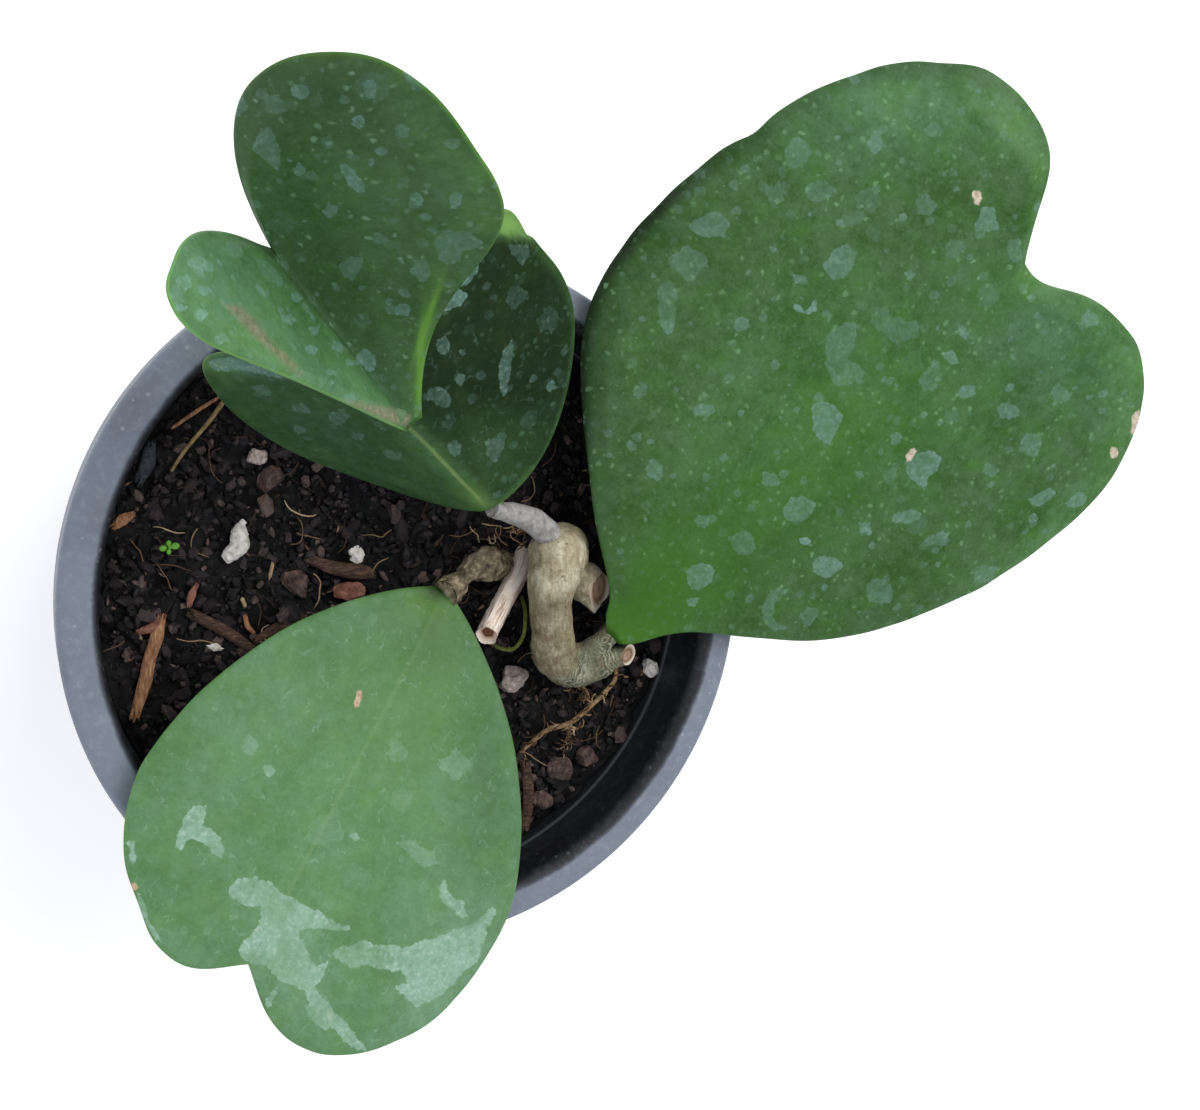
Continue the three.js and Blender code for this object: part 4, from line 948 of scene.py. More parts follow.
LEAF_MARKS["leaf_upper"] = dict(
    denser=2.2, shown=0.8,
    films=[
        (0.55, 251, 148, 259, 136, 269, 124, 275, 136, 282, 150, 282, 165, 279, 173, 271, 167, 261, 158),
        (0.75, 336, 165, 345, 161, 355, 167, 357, 175, 366, 181, 368, 191, 360, 195, 351, 189, 343, 177),
        (0.5, 366, 160, 374, 156, 376, 163, 370, 169),
        (0.5, 390, 130, 401, 122, 410, 128, 409, 136, 398, 140),
        (0.35, 366, 234, 380, 232, 392, 238, 388, 247, 374, 247),
        (0.5, 337, 263, 351, 255, 365, 257, 360, 271, 353, 282, 341, 277),
        (0.55, 433, 238, 446, 228, 460, 232, 466, 245, 460, 263, 444, 265, 435, 251),
        (0.22, 263, 226, 279, 210, 296, 220, 294, 232, 279, 236),
        (0.3, 398, 177, 407, 173, 411, 181, 401, 189, 396, 185),
        (0.3, 321, 138, 331, 134, 336, 142, 329, 150, 322, 148),
        (0.45, 255, 258, 270, 262, 285, 282, 280, 288, 265, 280),
        (0.45, 225, 240, 240, 244, 246, 254, 236, 260, 224, 252),
        (0.4, 172, 282, 184, 288, 186, 302, 175, 306, 170, 296),
    ],
    drops=[(0.3, 358, 122, 8, 8, 0), (0.28, 415, 200, 10, 9, 0), (0.3, 330, 210, 9, 8, 0),
           (0.3, 300, 170, 7, 7, 0), (0.25, 420, 270, 12, 14, 0), (0.3, 389, 301, 5, 6, 0),
           (0.35, 403, 310, 9, 8, 0), (0.3, 240, 105, 9, 12, 0), (0.3, 302, 90, 12, 8, 0),
           (0.3, 370, 90, 10, 12, 0), (0.3, 197, 262, 9, 8, 0), (0.3, 206, 290, 8, 7, 0),
           (0.35, 312, 350, 8, 6, 20), (0.4, 350, 362, 7, 5, 20), (0.3, 350, 400, 9, 6, 0),
           (0.3, 455, 200, 8, 10, 0), (0.45, 207, 268, 10, 8, 0), (0.4, 184, 282, 9, 8, 0),
           (0.35, 201, 313, 10, 8, 0), (0.3, 221, 339, 8, 6, 0), (0.35, 289, 319, 9, 6, 20),
           (0.4, 314, 330, 8, 6, 20), (0.45, 337, 347, 9, 6, 30), (0.5, 366, 360, 14, 10, 30),
           (0.35, 297, 296, 8, 6, 20), (0.4, 181, 308, 7, 6, 0), (0.35, 262, 292, 8, 6, 20),
           (0.3, 330, 372, 8, 5, 20)],
    cork=[
        (219, 301, 240, 302, 260, 318, 272, 336, 290, 352, 307, 374, 298, 381, 282, 367, 266, 352, 250, 338,
         236, 322, 224, 312),
        (340, 396, 368, 400, 392, 404, 413, 414, 411, 430, 392, 427, 366, 416, 340, 405),
    ],
    glow=[(1.0, 420, 366, 3, 45, 3), (0.9, 428, 318, 3, 40, 20), (0.5, 425, 350, 8, 60, 8),
          (0.1, 275, 360, 60, 12, 38)],
    shade_and_tone=[(0.45, 430, 130, 22, 70, -38), (0.25, 480, 200, 20, 50, -10), (-0.3, 330, 95, 100, 50, 0),
          (0.25, 235, 330, 60, 16, 35)],
    painted_sheen=[(0.4, 215, 290, 75, 48, 40), (0.3, 330, 380, 70, 26, 32)])
LEAF_MARKS["leaf_under"] = dict(
    denser=1.6, shown=0.8,
    films=[
        (0.95, 453, 262, 462, 256, 472, 257, 479, 264, 478, 275, 472, 283, 462, 288, 450, 290, 446, 284),
        (0.95, 435, 300, 448, 290, 462, 289, 468, 294, 465, 303, 458, 308, 446, 312, 434, 311),
        (0.6, 503, 350, 512, 336, 514, 350, 512, 372, 508, 392, 503, 400, 499, 385, 499, 362),
        (0.5, 428, 385, 440, 386, 450, 394, 451, 408, 440, 410, 432, 402, 424, 400),
        (0.35, 485, 440, 495, 436, 506, 440, 502, 456, 494, 464, 487, 456),
        (0.3, 508, 245, 528, 243, 532, 252, 522, 266, 512, 258),
        (0.5, 545, 378, 552, 376, 558, 388, 550, 394, 546, 390),
        (0.4, 328, 412, 344, 408, 352, 416, 342, 426, 330, 424),
        (0.4, 350, 432, 366, 434, 362, 441, 352, 440),
        (0.95, 207, 362, 222, 356, 240, 356, 258, 361, 276, 370, 290, 379, 270, 377, 250, 372, 232, 371,
         214, 371),
    ],
    drops=[(0.3, 442, 345, 9, 12, 0), (0.3, 463, 352, 5, 5, 0), (0.3, 460, 378, 6, 7, 0),
           (0.3, 455, 448, 9, 10, 0), (0.3, 262, 390, 12, 6, 20), (0.3, 300, 408, 10, 6, 20),
           (0.3, 392, 455, 10, 6, 20), (0.3, 300, 430, 8, 5, 20)],
    cork=[],
    glow=[(0.9, 222, 366, 16, 5, 5), (0.4, 480, 500, 20, 12, 40), (0.5, 512, 224, 22, 14, 20)],
    shade_and_tone=[(0.2, 512, 222, 24, 13, 18), (0.42, 500, 455, 40, 36, 0), (-0.2, 290, 398, 70, 22, 25),
          (0.4, 452, 300, 6, 40, 25), (0.35, 440, 470, 34, 14, 45)],
    painted_sheen=[(0.5, 244, 367, 34, 7, 12), (0.12, 330, 430, 90, 30, 30)])

# The crease across the crown of the shaded leaf, beyond which its margin rolls back into the light
ROLLED_CROWN = [(470, 246), (480, 240), (490, 240), (502, 237.5), (514, 236.5), (524, 237),
                (531, 239.5), (538, 232), (532, 216), (515, 200), (480, 210)]


def leaf_relief(seed, groove):
    """Relief of a leaf's upper face: slow swells, fine dimples and a shallow trough along the midrib."""
    def height(x, y, off):
        flat = np.stack([x, y, np.zeros_like(x)], -1)
        swell = 0.4 * noise(flat, 17, seed) + 0.14 * noise(flat, 5, seed + 3)
        swell = swell + 0.05 * noise(flat, 1.9, seed + 5)
        trough = -groove * np.exp(-(x / 1.6) ** 2) * smooth_step(y, 0, 6)
        return swell * smooth_step(off, 0, 5) + trough
    return height


def build_leaf(name, material, settings):
    """One leaf: its blade, with marks placed as the photograph shows them, and its stalk if it has one."""
    leaf = LEAVES[name]
    size = leaf["midrib"]
    rows = int(130 + 1.2 * size)
    columns = int(28 + 0.45 * size)
    curl = settings.curl if name == "leaf_right" else 0.0

    def bend_down(x, y, off):
        return curl * (1 - smooth_step(off, 0, 9)) * smooth_step(-x, 3, 16) * smooth_step(y, 12, 40)

    relief = leaf_relief(len(name) + int(size), settings.groove)
    parts = [blade(leaf, MARGIN_NUDGES[name], settings, rows, columns, relief, bend_down)]
    if name == "leaf_upper":
        points, faces, values = tube(UPPER_PETIOLE, 90, 20)
        place = [values["around"], 40 * values["along"], -0.5 + 0 * values["along"]]
        stalk = {"blade": np.stack(place, -1), "margin": np.full(len(points), 9.0)}
        parts.append((points, faces, stalk))
    points, faces, values = join_parts(parts)
    across, down = photo_pixels(points)
    marks = LEAF_MARKS[name]
    rng = np.random.default_rng(5)
    films = [(row[0], corners(row[1:])) for row in marks["films"]]
    films += [(min(1, row[0] * marks["denser"]), round_outline(*row[1:], rng)) for row in marks["drops"]]
    values["stain"], values["film"] = outline_depth(across, down, films)
    values["film"] *= settings.film * marks["shown"]
    values["cork"], _ = outline_depth(across, down, [(1, corners(row)) for row in marks["cork"]])
    # Glow: yellower tissue near the base, and painted highlights where rounded margins catch the light
    values["glow"] = np.clip(soft_spots(across, down, marks["glow"]), 0, 1)
    values["painted_sheen"] = np.clip(soft_spots(across, down, marks["painted_sheen"]), 0, 1)
    side = values["blade"][:, 0]
    # The upper leaf's left lobe is painted lighter, for the light that it faces
    lit_lobe = (name == "leaf_upper") * (side < 0) * 0.92 * (1 - np.exp(-(side / 3) ** 2))
    # Painted shade along the right leaf's curled-down left margin, and a painted highlight along its right
    # margin
    shaded = (1 - smooth_step(values["margin"], 0.3, 4.5)) * smooth_step(-side, 6, 16) * (curl > 0)
    dark_edge = shaded * (0.25 + 0.5 * smooth_step(-down, -520, -380) * (1 - smooth_step(across, 640, 780)))
    sunlit = (name == "leaf_right") * smooth_step(across, 960, 1040)
    bright_edge = 0.36 * (1 - smooth_step(values["margin"], 1.5, 11)) * sunlit
    shade_and_tone = 1 + soft_spots(across, down, marks["shade_and_tone"]) + lit_lobe - dark_edge + bright_edge
    values["shade_and_tone"] = np.clip(shade_and_tone, 0.15, 3)
    # The shaded leaf's right lobe is painted darker for the shade it lies in, with painted highlights along
    # its rounded margin and along the crease; beyond the crease its crown is set lower and painted lighter,
    # where it turns back to the light
    if name == "leaf_under":
        beyond, _ = outline_depth(across, down, [(1, corners(ROLLED_CROWN))])
        lobe = smooth_step(side, 0.0, 3.0)
        step = smooth_step(beyond, -0.2, 0.6) * (side > 0)
        points = points - np.array([0.25, 0.1, 1.2]) * step[:, None]
        lit_edge = 0.4 * (1 - smooth_step(values["margin"], 0.6, 2.2))
        strip = lit_edge + 0.5 * np.exp(-((beyond + 0.3) / 0.25) ** 2)
        shade = 0.72 - strip - 0.16 * smooth_step(down, 380, 470)
        values["shade_and_tone"] *= 1 - lobe * (1 - step) * shade + 0.45 * step
    mesh = new_mesh(name + "_blade", points, faces, values)
    return add_piece(mesh, material, stands_for=(name,))


# Pot

def pot_profile(settings):
    """The pot's wall as radius and height, closed on its axis: flat base, tapered wall, hanging skirt,
    rounded rim and tapered inside, with arcs at every edge that shows."""
    inner = INNER_RADIUS
    outer = inner + settings.wall

    def arc(r, z, radius, start, stop, steps=7):
        a = np.radians(np.linspace(start, stop, steps))
        return np.stack([r + radius * np.cos(a), z + radius * np.sin(a)], -1)

    return np.vstack([
        [(0, 0)],
        arc(FOOT_RADIUS, 1.6, 1.6, -90, -8),
        [(outer, RIM_TOP - 15), (outer + 0.3, RIM_TOP - 2.7)],
        arc(RIM_RADIUS - 2.0, RIM_TOP - 2.7, 0.3, 90, 0, 4),
        arc(RIM_RADIUS - 1.2, RIM_TOP - settings.skirt + 0.6, 0.6, 180, 360),
        arc(RIM_RADIUS - 1.5, RIM_TOP - 1.5, 1.5, 0, 90, 9),
        arc(inner + 2.5, RIM_TOP - 2.3, 2.3, 90, 175, 12),
        [(inner, MIX_LEVEL)],
        arc(FOOT_RADIUS - 1.4, 3.8, 1.6, -6, -90),
        [(0, 2.2)],
    ])


def build_pot(material, settings):
    """The pot: its profile turned about the axis, with round drain holes cut through the floor."""
    profile = pot_profile(settings)
    fine = [profile[:1]]
    for a, b in zip(profile[:-1], profile[1:]):
        steps = max(1, int(np.hypot(*(b - a)) / 6))
        fine.append(a + (b - a) * np.linspace(0, 1, steps + 1)[1:, None])
    fine = np.vstack(fine)
    sides = 192
    angle = np.linspace(0, 2 * np.pi, sides, endpoint=False)
    reach, height = fine[:, :1], np.repeat(fine[:, 1:], sides, 1)
    points = np.stack([reach * np.cos(angle), reach * np.sin(angle), height], -1).reshape(-1, 3)
    mesh = new_mesh("nursery_pot", points, grid_faces(len(fine), sides, wrap=True))
    piece = add_piece(mesh, material, stands_for=("pot",))
    cutter_parts = []
    for i in range(DRAIN_HOLES["count"]):
        turn = 2 * np.pi * (i + 0.5) / DRAIN_HOLES["count"]
        x, y = DRAIN_HOLES["ring"] * math.cos(turn), DRAIN_HOLES["ring"] * math.sin(turn)
        ends = [(x, y, height, DRAIN_HOLES["radius"]) for height in (-5, 10)]
        cutter_parts.append(tube(ends, 4, 40, end_rings=1)[:2] + ({},))
    points, faces, _ = join_parts(cutter_parts)
    cutter = bpy.data.objects.new("drain_cutter", new_mesh("drain_cutter", points, faces))
    bpy.context.scene.collection.objects.link(cutter)
    cut = piece.modifiers.new("Drain holes", "BOOLEAN")
    cut.operation, cut.solver, cut.object = "DIFFERENCE", "EXACT", cutter
    apply_modifiers(piece)
    bpy.data.objects.remove(cutter)
    keep_edges(piece, 35)
    return piece


def apply_modifiers(piece):
    """Writes a piece's modifiers into its mesh."""
    shown = piece.evaluated_get(bpy.context.evaluated_depsgraph_get())
    mesh = bpy.data.meshes.new_from_object(shown)
    old, name = piece.data, piece.data.name
    piece.modifiers.clear()
    piece.data = mesh
    bpy.data.meshes.remove(old)
    mesh.name = name


def keep_edges(piece, degrees):
    """Marks edges sharper than an angle, so that smooth shading stops at them."""
    with bpy.context.temp_override(object=piece, active_object=piece, selected_objects=[piece],
                                   selected_editable_objects=[piece]):
        bpy.ops.object.shade_smooth_by_angle(angle=math.radians(degrees))


# Potting mix

def soil_height(x, y):
    """Height of the mix, as in the solids: a few long waves and a low ripple."""
    return MIX_LEVEL + 0.9 * np.sin(x / 9 + 1) * np.cos(y / 8) + 0.5 * np.sin((x + 2 * y) / 5)


# How far from the middle the chips and the dead roots lie, in millimetres
CHIPS_WITHIN = 56.0
ROOTS_START_WITHIN = 54
ROOTS_WITHIN = 56.5

# Where dead roots stand in a tangle by the rough stalk
TANGLE = dict(middle=(19.0, 9.5), spread=2.6, count=26)


def chip_shapes(count, rng, sizes, lengthen, sink):
    """Angular chips: twenty-faced lumps with jittered corners, stretched, turned and laid on the mix."""
    golden = (1 + 5 ** 0.5) / 2
    ball = np.array([(0, a, b * golden) for a in (-1, 1) for b in (-1, 1)])
    ball = unit(np.vstack([ball, ball[:, [2, 0, 1]], ball[:, [1, 2, 0]]]))
    joined = np.linalg.norm(ball[:, None] - ball[None], axis=-1) < 1.1
    faces = np.array([(a, b, c) for a, b, c in combinations(range(12), 3)
                      if joined[a, b] and joined[b, c] and joined[a, c]])
    first, second, third = (ball[faces[:, k]] for k in range(3))
    flip = (np.cross(second - first, third - first) * first).sum(1) < 0
    faces[flip] = faces[flip][:, ::-1]
    size = rng.uniform(0, 1, count) ** 2 * (sizes[1] - sizes[0]) + sizes[0]
    scale = np.stack([size * rng.uniform(0.9, lengthen, count), size * rng.uniform(0.5, 0.9, count),
                      size * rng.uniform(0.3, 0.6, count)], -1)
    local = ball[None] * rng.uniform(0.72, 1.2, (count, 12, 1)) * scale[:, None]
    tilt, turn = rng.normal(0, 0.35, (count, 1)), rng.uniform(0, 2 * np.pi, (count, 1))
    x, z = turn_by(local[..., 0], local[..., 2], tilt)
    x, y = turn_by(x, local[..., 1], turn)
    radius = CHIPS_WITHIN * np.sqrt(rng.uniform(0, 1, count))
    angle = rng.uniform(0, 2 * np.pi, count)
    px, py = radius * np.cos(angle), radius * np.sin(angle)
    lift = soil_height(px, py) + scale[:, 2] * rng.uniform(*sink, count)
    points = np.stack([x + px[:, None], y + py[:, None], z + lift[:, None]], -1)
    tint = np.repeat(rng.uniform(0, 1, count), 12)
    all_faces = (faces[None] + 12 * np.arange(count)[:, None, None]).reshape(-1, 3)
    return points.reshape(-1, 3), all_faces, {"tint": tint}


def build_soil(materials, settings):
    """The potting mix: a crumbly bed with chips of three kinds and fine roots strewn over it."""
    rng = np.random.default_rng(settings.seed)
    rings, sides = 150, 300
    wall, floor = INNER_RADIUS - 0.35, FOOT_RADIUS + 0.1
    radius = np.concatenate([np.linspace(0, wall, rings), [floor, floor * 0.5, 0]])
    angle = np.linspace(0, 2 * np.pi, sides, endpoint=False)
    x, y = radius[:, None] * np.cos(angle), radius[:, None] * np.sin(angle)
    z = soil_height(x, y)
    flat = np.stack([x, y, 0 * x], -1)
    z = z + 0.9 * noise(flat, 4.0, 3, 3) + 0.45 * noise(flat, 1.3, 9, 2) - 0.3
    z[rings:] = 2.5
    points = np.stack([x, y, z], -1).reshape(-1, 3)
    values = {"tint": np.clip(0.12 + 0.2 * noise(points, 2.2, 5, 2), 0, 1)}
    add_piece(new_mesh("mix_bed", points, grid_faces(len(radius), sides, wrap=True), values),
              materials["bed"], stands_for=("soil",))
    kinds = [
        ("husk_crumbs", settings.crumbs, (0.35, 1.3), 1.5, (0.0, 0.8), "husk"),
        ("husk_chips", settings.chips, (0.9, 2.5), 1.6, (0.0, 0.9), "husk"),
        ("wood_splinters", settings.splinters, (0.25, 0.8), 4.5, (0.1, 1.6), "splinter"),
    ]
    for name, count, sizes, lengthen, sink, finish in kinds:
        mesh = new_mesh(name, *chip_shapes(count, rng, sizes, lengthen, sink))
        add_piece(mesh, materials[finish], smooth=False)
    thin = settings.thread_radius
    threads = []
    for _ in range(settings.threads):
        away = ROOTS_START_WITHIN * math.sqrt(rng.uniform())
        threads.append(thread(rng, away * np.array(turned(rng.uniform(0, 360))), 0.0, thin))
    for _ in range(TANGLE["count"]):
        start = np.array(TANGLE["middle"]) + rng.normal(0, TANGLE["spread"], 2)
        threads.append(thread(rng, start, rng.uniform(0.5, 7), thin, 1.1))
    for path in ROOT_PATHS:
        for at in curve_points(path, rng.uniform(0.05, 0.98, 26)):
            threads.append(thread(rng, at[:2] - rng.normal(0, 0.5, 2), at[2] - MIX_LEVEL - 0.5, thin, 0.5))
    add_piece(new_mesh("fine_roots", *join_parts(threads)), materials["thread"])


def turned(degrees):
    """The cosine and sine of an angle in degrees."""
    return math.cos(math.radians(degrees)), math.sin(math.radians(degrees))


def thread(rng, start, lift, radius, stride=1.6):
    """A hair-thin dead root: a short tube along a wandering path that arches a little over the mix."""
    heading = rng.uniform(0, 2 * math.pi)
    arch = rng.uniform(0.3, 1.3)
    turn = rng.normal(0, 0.3)
    rows = []
    x, y = start
    for step in range(6):
        if math.hypot(x, y) > ROOTS_WITHIN:
            x, y = (ROOTS_WITHIN * c / math.hypot(x, y) for c in (x, y))
        high = 0.5 + lift + arch * math.sin(math.pi * step / 5)
        rows.append((x, y, float(soil_height(x, y)) + high, radius * rng.uniform(0.6, 1.3)))
        heading += turn + rng.normal(0, 0.35)
        reach = stride * rng.uniform(0.5, 1.2)
        x, y = x + reach * math.cos(heading), y + reach * math.sin(heading)
    points, faces, _ = tube(rows, 14, 5, end_rings=1)
    return points, faces, {"tint": np.full(len(points), rng.uniform(0, 1))}


# Stems

def remesh_parts(name, parts, voxel, smoothing):
    """Fuses overlapping closed tubes into one skin of small faces and relaxes it."""
    points, faces, _ = join_parts([(p, f, {}) for p, f, _ in parts])
    mesh = new_mesh(name, points, faces)
    work = bpy.data.objects.new(name, mesh)
    bpy.context.scene.collection.objects.link(work)
    fuse = work.modifiers.new("Fuse", "REMESH")
    fuse.mode, fuse.voxel_size = "VOXEL", voxel * MM
    relax = work.modifiers.new("Relax", "SMOOTH")
    relax.iterations, relax.factor = smoothing, 0.5
    apply_modifiers(work)
    mesh = work.data
    bpy.data.objects.remove(work)
    return mesh


def nearest_on(path, points, samples=240):
    """For each point, how far along a path its nearest place is, from 0 to 1, and how far away in radii."""
    t = np.linspace(0, 1, samples)
    centre = curve_points(path, t)
    radius = np.interp(t * (len(path) - 1), np.arange(len(path)), [row[3] for row in path])
    away = np.linalg.norm(points[:, None] - centre[None], axis=-1)
    best = away.argmin(1)
    return t[best], away[np.arange(len(points)), best] / radius[best]


def slant_cut(points, at, axis, facing, reach, limb=True):
    """Cuts a limb's end by a slanting plane: points of the limb beyond the plane and within reach of its
    middle slide back along the limb's axis onto it. Also returns, on the cut, the share of the way from
    its middle to its rim, from 0.06 to 1, and 0 elsewhere."""
    at, axis, facing = np.array(at, float), unit(np.array(axis, float)), unit(np.array(facing, float))
    beyond = (points - at) @ facing
    near = (np.linalg.norm(points - at, axis=1) < reach) & limb
    cut = near & (beyond > -0.02)
    slide = np.where(near, np.maximum(beyond, 0), 0) / (axis @ facing)
    moved = points - axis * slide[:, None]
    offset = moved - moved[cut].mean(0)
    across = unit(np.cross(facing, axis))
    along = np.cross(facing, across)
    u, v = offset @ across, offset @ along
    share = np.hypot(u / np.abs(u[cut]).max(), v / np.abs(v[cut]).max())
    return moved, np.where(cut, 0.06 + 0.94 * np.clip(share, 0, 1), 0)


def mesh_normals(mesh):
    """A mesh's point normals."""
    flat = np.zeros(len(mesh.vertices) * 3)
    mesh.vertices.foreach_get("normal", flat)
    return flat.reshape(-1, 3)


def set_points(mesh, points):
    """Moves a mesh's points, in millimetres."""
    mesh.vertices.foreach_set("co", (points * MM).astype(np.float32).ravel())
    mesh.update()


def set_values(mesh, values):
    """Writes named values onto a mesh's points."""
    for key, value in values.items():
        mesh.attributes.new(key, "FLOAT", "POINT").data.foreach_set("value", value.astype(np.float32))


# The two ends that were pruned: each runs a little past its cut and is then cut by a slanting plane
CUT_TIP = dict(
    path=[(38, -13.4, 107.6, 2.3), (41.2, -13.1, 108.1, 1.7), (44.6, -13, 108.4, 1.6)],
    cut=dict(at=(41.6, -13.1, 108.3), axis=(0.99, 0.04, 0.1), facing=(0.62, 0.0, 0.78), reach=5))
CUT_BRANCH = dict(
    path=[(31.2, 3.2, 105.9, 3.9), (33.6, 1.4, 106.4, 4.1), (36, -0.8, 106.8, 4.0), (37.6, -2.3, 107, 3.8)],
    cut=dict(at=(36.0, -2.2, 106.8), axis=(0.74, -0.6, 0.3), facing=(0.64, -0.19, 0.74), reach=6))


def build_woody_stem(material):
    """The old stem: a knob where it forks, a limb that hooks round to a cut end, a cut side branch and
    the stalk of the right leaf, grown together under one bark with fine wrinkles round the bend."""
    parts = [tube(WOODY_PATH[:-2] + CUT_TIP["path"], 160, 48),
             tube(SIDE_STUB_PATH[:1] + CUT_BRANCH["path"], 60, 40),
             tube(RIGHT_PETIOLE, 50, 36)]
    mesh = remesh_parts("old_stem", parts, 0.26, 8)
    points, normals = mesh_points(mesh), mesh_normals(mesh)
    along, _ = nearest_on(WOODY_PATH, points)
    on_branch, near_branch = nearest_on(SIDE_STUB_PATH, points)
    _, near_stalk = nearest_on(RIGHT_PETIOLE, points)
    bend = smooth_step(along, 0.6, 0.68) * (1 - smooth_step(along, 0.9, 0.96))
    folded = bend * smooth_step(noise(points, 4, 21), -0.8, 0.4)
    wrinkles = np.sin(along * 330 + 13 * noise(points, 3.4, 4, 3)) * folded
    lump = noise(points, 5, 2) * 0.55 + noise(points, 2.2, 7, 2) * 0.22
    lump = lump + noise(points, 0.8, 11, 2) * 0.03 * (1 - bend)
    neck = np.exp(-((on_branch - 0.36) / 0.1) ** 2) * (near_branch < 1.3) * 0.5
    scar = np.exp(-((along - 0.60) / 0.012) ** 2) * 0.25 + np.exp(-((along - 0.33) / 0.01) ** 2) * 0.2
    points = points + normals * (lump + 0.11 * wrinkles - scar - neck)[:, None]
    points, first = slant_cut(points, **CUT_TIP["cut"])
    points, second = slant_cut(points, **CUT_BRANCH["cut"], limb=near_branch < 1.5)
    set_points(mesh, points)
    green = np.clip(smooth_step(along, 0.64, 0.72) * 0.9 + (near_stalk < 1.25) * 0.5, 0, 1)
    # The limb beyond the knob, which takes the bark's darker copy as painted shade
    old = smooth_step(along, 0.36, 0.46) * (near_branch > 1.2)
    face = np.maximum(first, second)
    set_values(mesh, {"along": along, "face": face, "green": green, "wrinkle": wrinkles, "old": old})
    add_piece(mesh, material, stands_for=("woody_stem",))


def build_simple_stem(name, path, material, slot, stands_for, bumps, rings=110, sides=40, **ends):
    """A stem from one tube, whose ends close as the tube's own settings say: bumps is a list of
    (height, size) for its noise, in millimetres."""
    points, faces, values = tube(path, rings, sides, **ends)
    centre = curve_points(path, values["along"])
    out = unit(points - centre)
    lump = sum(height * noise(points, size, 5 + i, 2) for i, (height, size) in enumerate(bumps))
    points = points + out * (lump * (values["face"] == 0))[:, None]
    values["face"] = np.where(values["face"] < 0, 0.06 + 0.94 * (values["face"] + 2), 0)
    add_piece(new_mesh(name, points, faces, values), material, stands_for=(stands_for,))


# Loose pieces in the mix: x, y, how far the middle stands above the mix, half sizes along, across and
# up, the turn about the upright, and its finish and kind, as in the solids
LOOSE_PIECES = {
    "perlite_2": ((-9.4, 8, 0.6), (1.4, 1.5, 1.3), 30, "perlite", "perlite"),
    "perlite_3": ((21.9, -18.5, 1.3), (2.5, 2.3, 2), 10, "dust_and_sheen", "perlite"),
    "perlite_4": ((52.2, -18.6, 1), (1.5, 1.8, 1.5), 0, "perlite", "perlite"),
    "stone_1": ((-27.7, 27, 0.6), (1.6, 1.4, 1.2), 15, "dust_and_sheen", "pebble"),
    "bark_1": ((-25.9, 22.4, 0.7), (2.6, 2.1, 1.5), 40, "bark", "bark_chip"),
    "bark_2": ((-21, 2.9, 0.7), (2.8, 2.3, 1.4), -35, "bark", "bark_chip"),
    "bark_3": ((32.1, -37.8, 0.8), (2.2, 3, 1.6), 20, "bark", "bark_chip"),
    "bark_4": ((38.2, -36.4, 0.8), (2.3, 1.9, 1.6), -20, "bark", "bark_chip"),
    "bark_5": ((27.7, -44, 0.7), (1.9, 2.6, 1.4), 60, "bark", "bark_chip"),
    "bark_6": ((-10.4, 0.9, 0.8), (3.2, 1.7, 0.9), 4, "red_bark", "red_bark"),
}


def round_ball(rows, sides):
    """The points of a ball of radius 1, pole to pole."""
    polar = np.linspace(0, np.pi, rows)[:, None]
    angle = np.linspace(0, 2 * np.pi, sides, endpoint=False)[None, :]
    ring = np.sin(polar)
    points = np.stack([ring * np.cos(angle), ring * np.sin(angle), np.cos(polar) + 0 * angle], -1)
    return points.reshape(-1, 3)


def build_loose_piece(name, spec, materials, seed):
    """A worn lump or chip: a ball pulled to a rounded box, cut by random flats and roughened by noise."""
    at, sizes, turn, finish, slot = spec
    rows, sides = 44, 64
    ball = round_ball(rows, sides)
    rng = np.random.default_rng(seed)
    flats = unit(rng.normal(size=(14, 3)))
    round_lump = finish in ("perlite", "dust_and_sheen")
    depth = rng.uniform(0.86, 1.02, 14) if round_lump else rng.uniform(0.66, 0.95, 14)
    reach = 1 / np.max(np.maximum(ball @ flats.T, 0.02) / depth, axis=1)
    reach = np.minimum(reach, 1.25)
    bumps = 0.16 * noise(ball, 0.7, seed, 2) + 0.06 * noise(ball, 0.22, seed + 1, 2)
    if not round_lump:
        bumps = 0.07 * noise(ball * (0.4, 1.6, 1.6), 0.3, seed, 3)
    x, y, z = (ball * (reach + bumps)[:, None] * sizes).T
    x, y = turn_by(x, y, math.radians(turn))
    points = np.stack([x + at[0], y + at[1], z + float(soil_height(at[0], at[1])) + at[2]], -1)
    mesh = new_mesh(name + "_grain", points, grid_faces(rows, sides, wrap=True))
    add_piece(mesh, materials[finish], stands_for=(name,), smooth=round_lump)


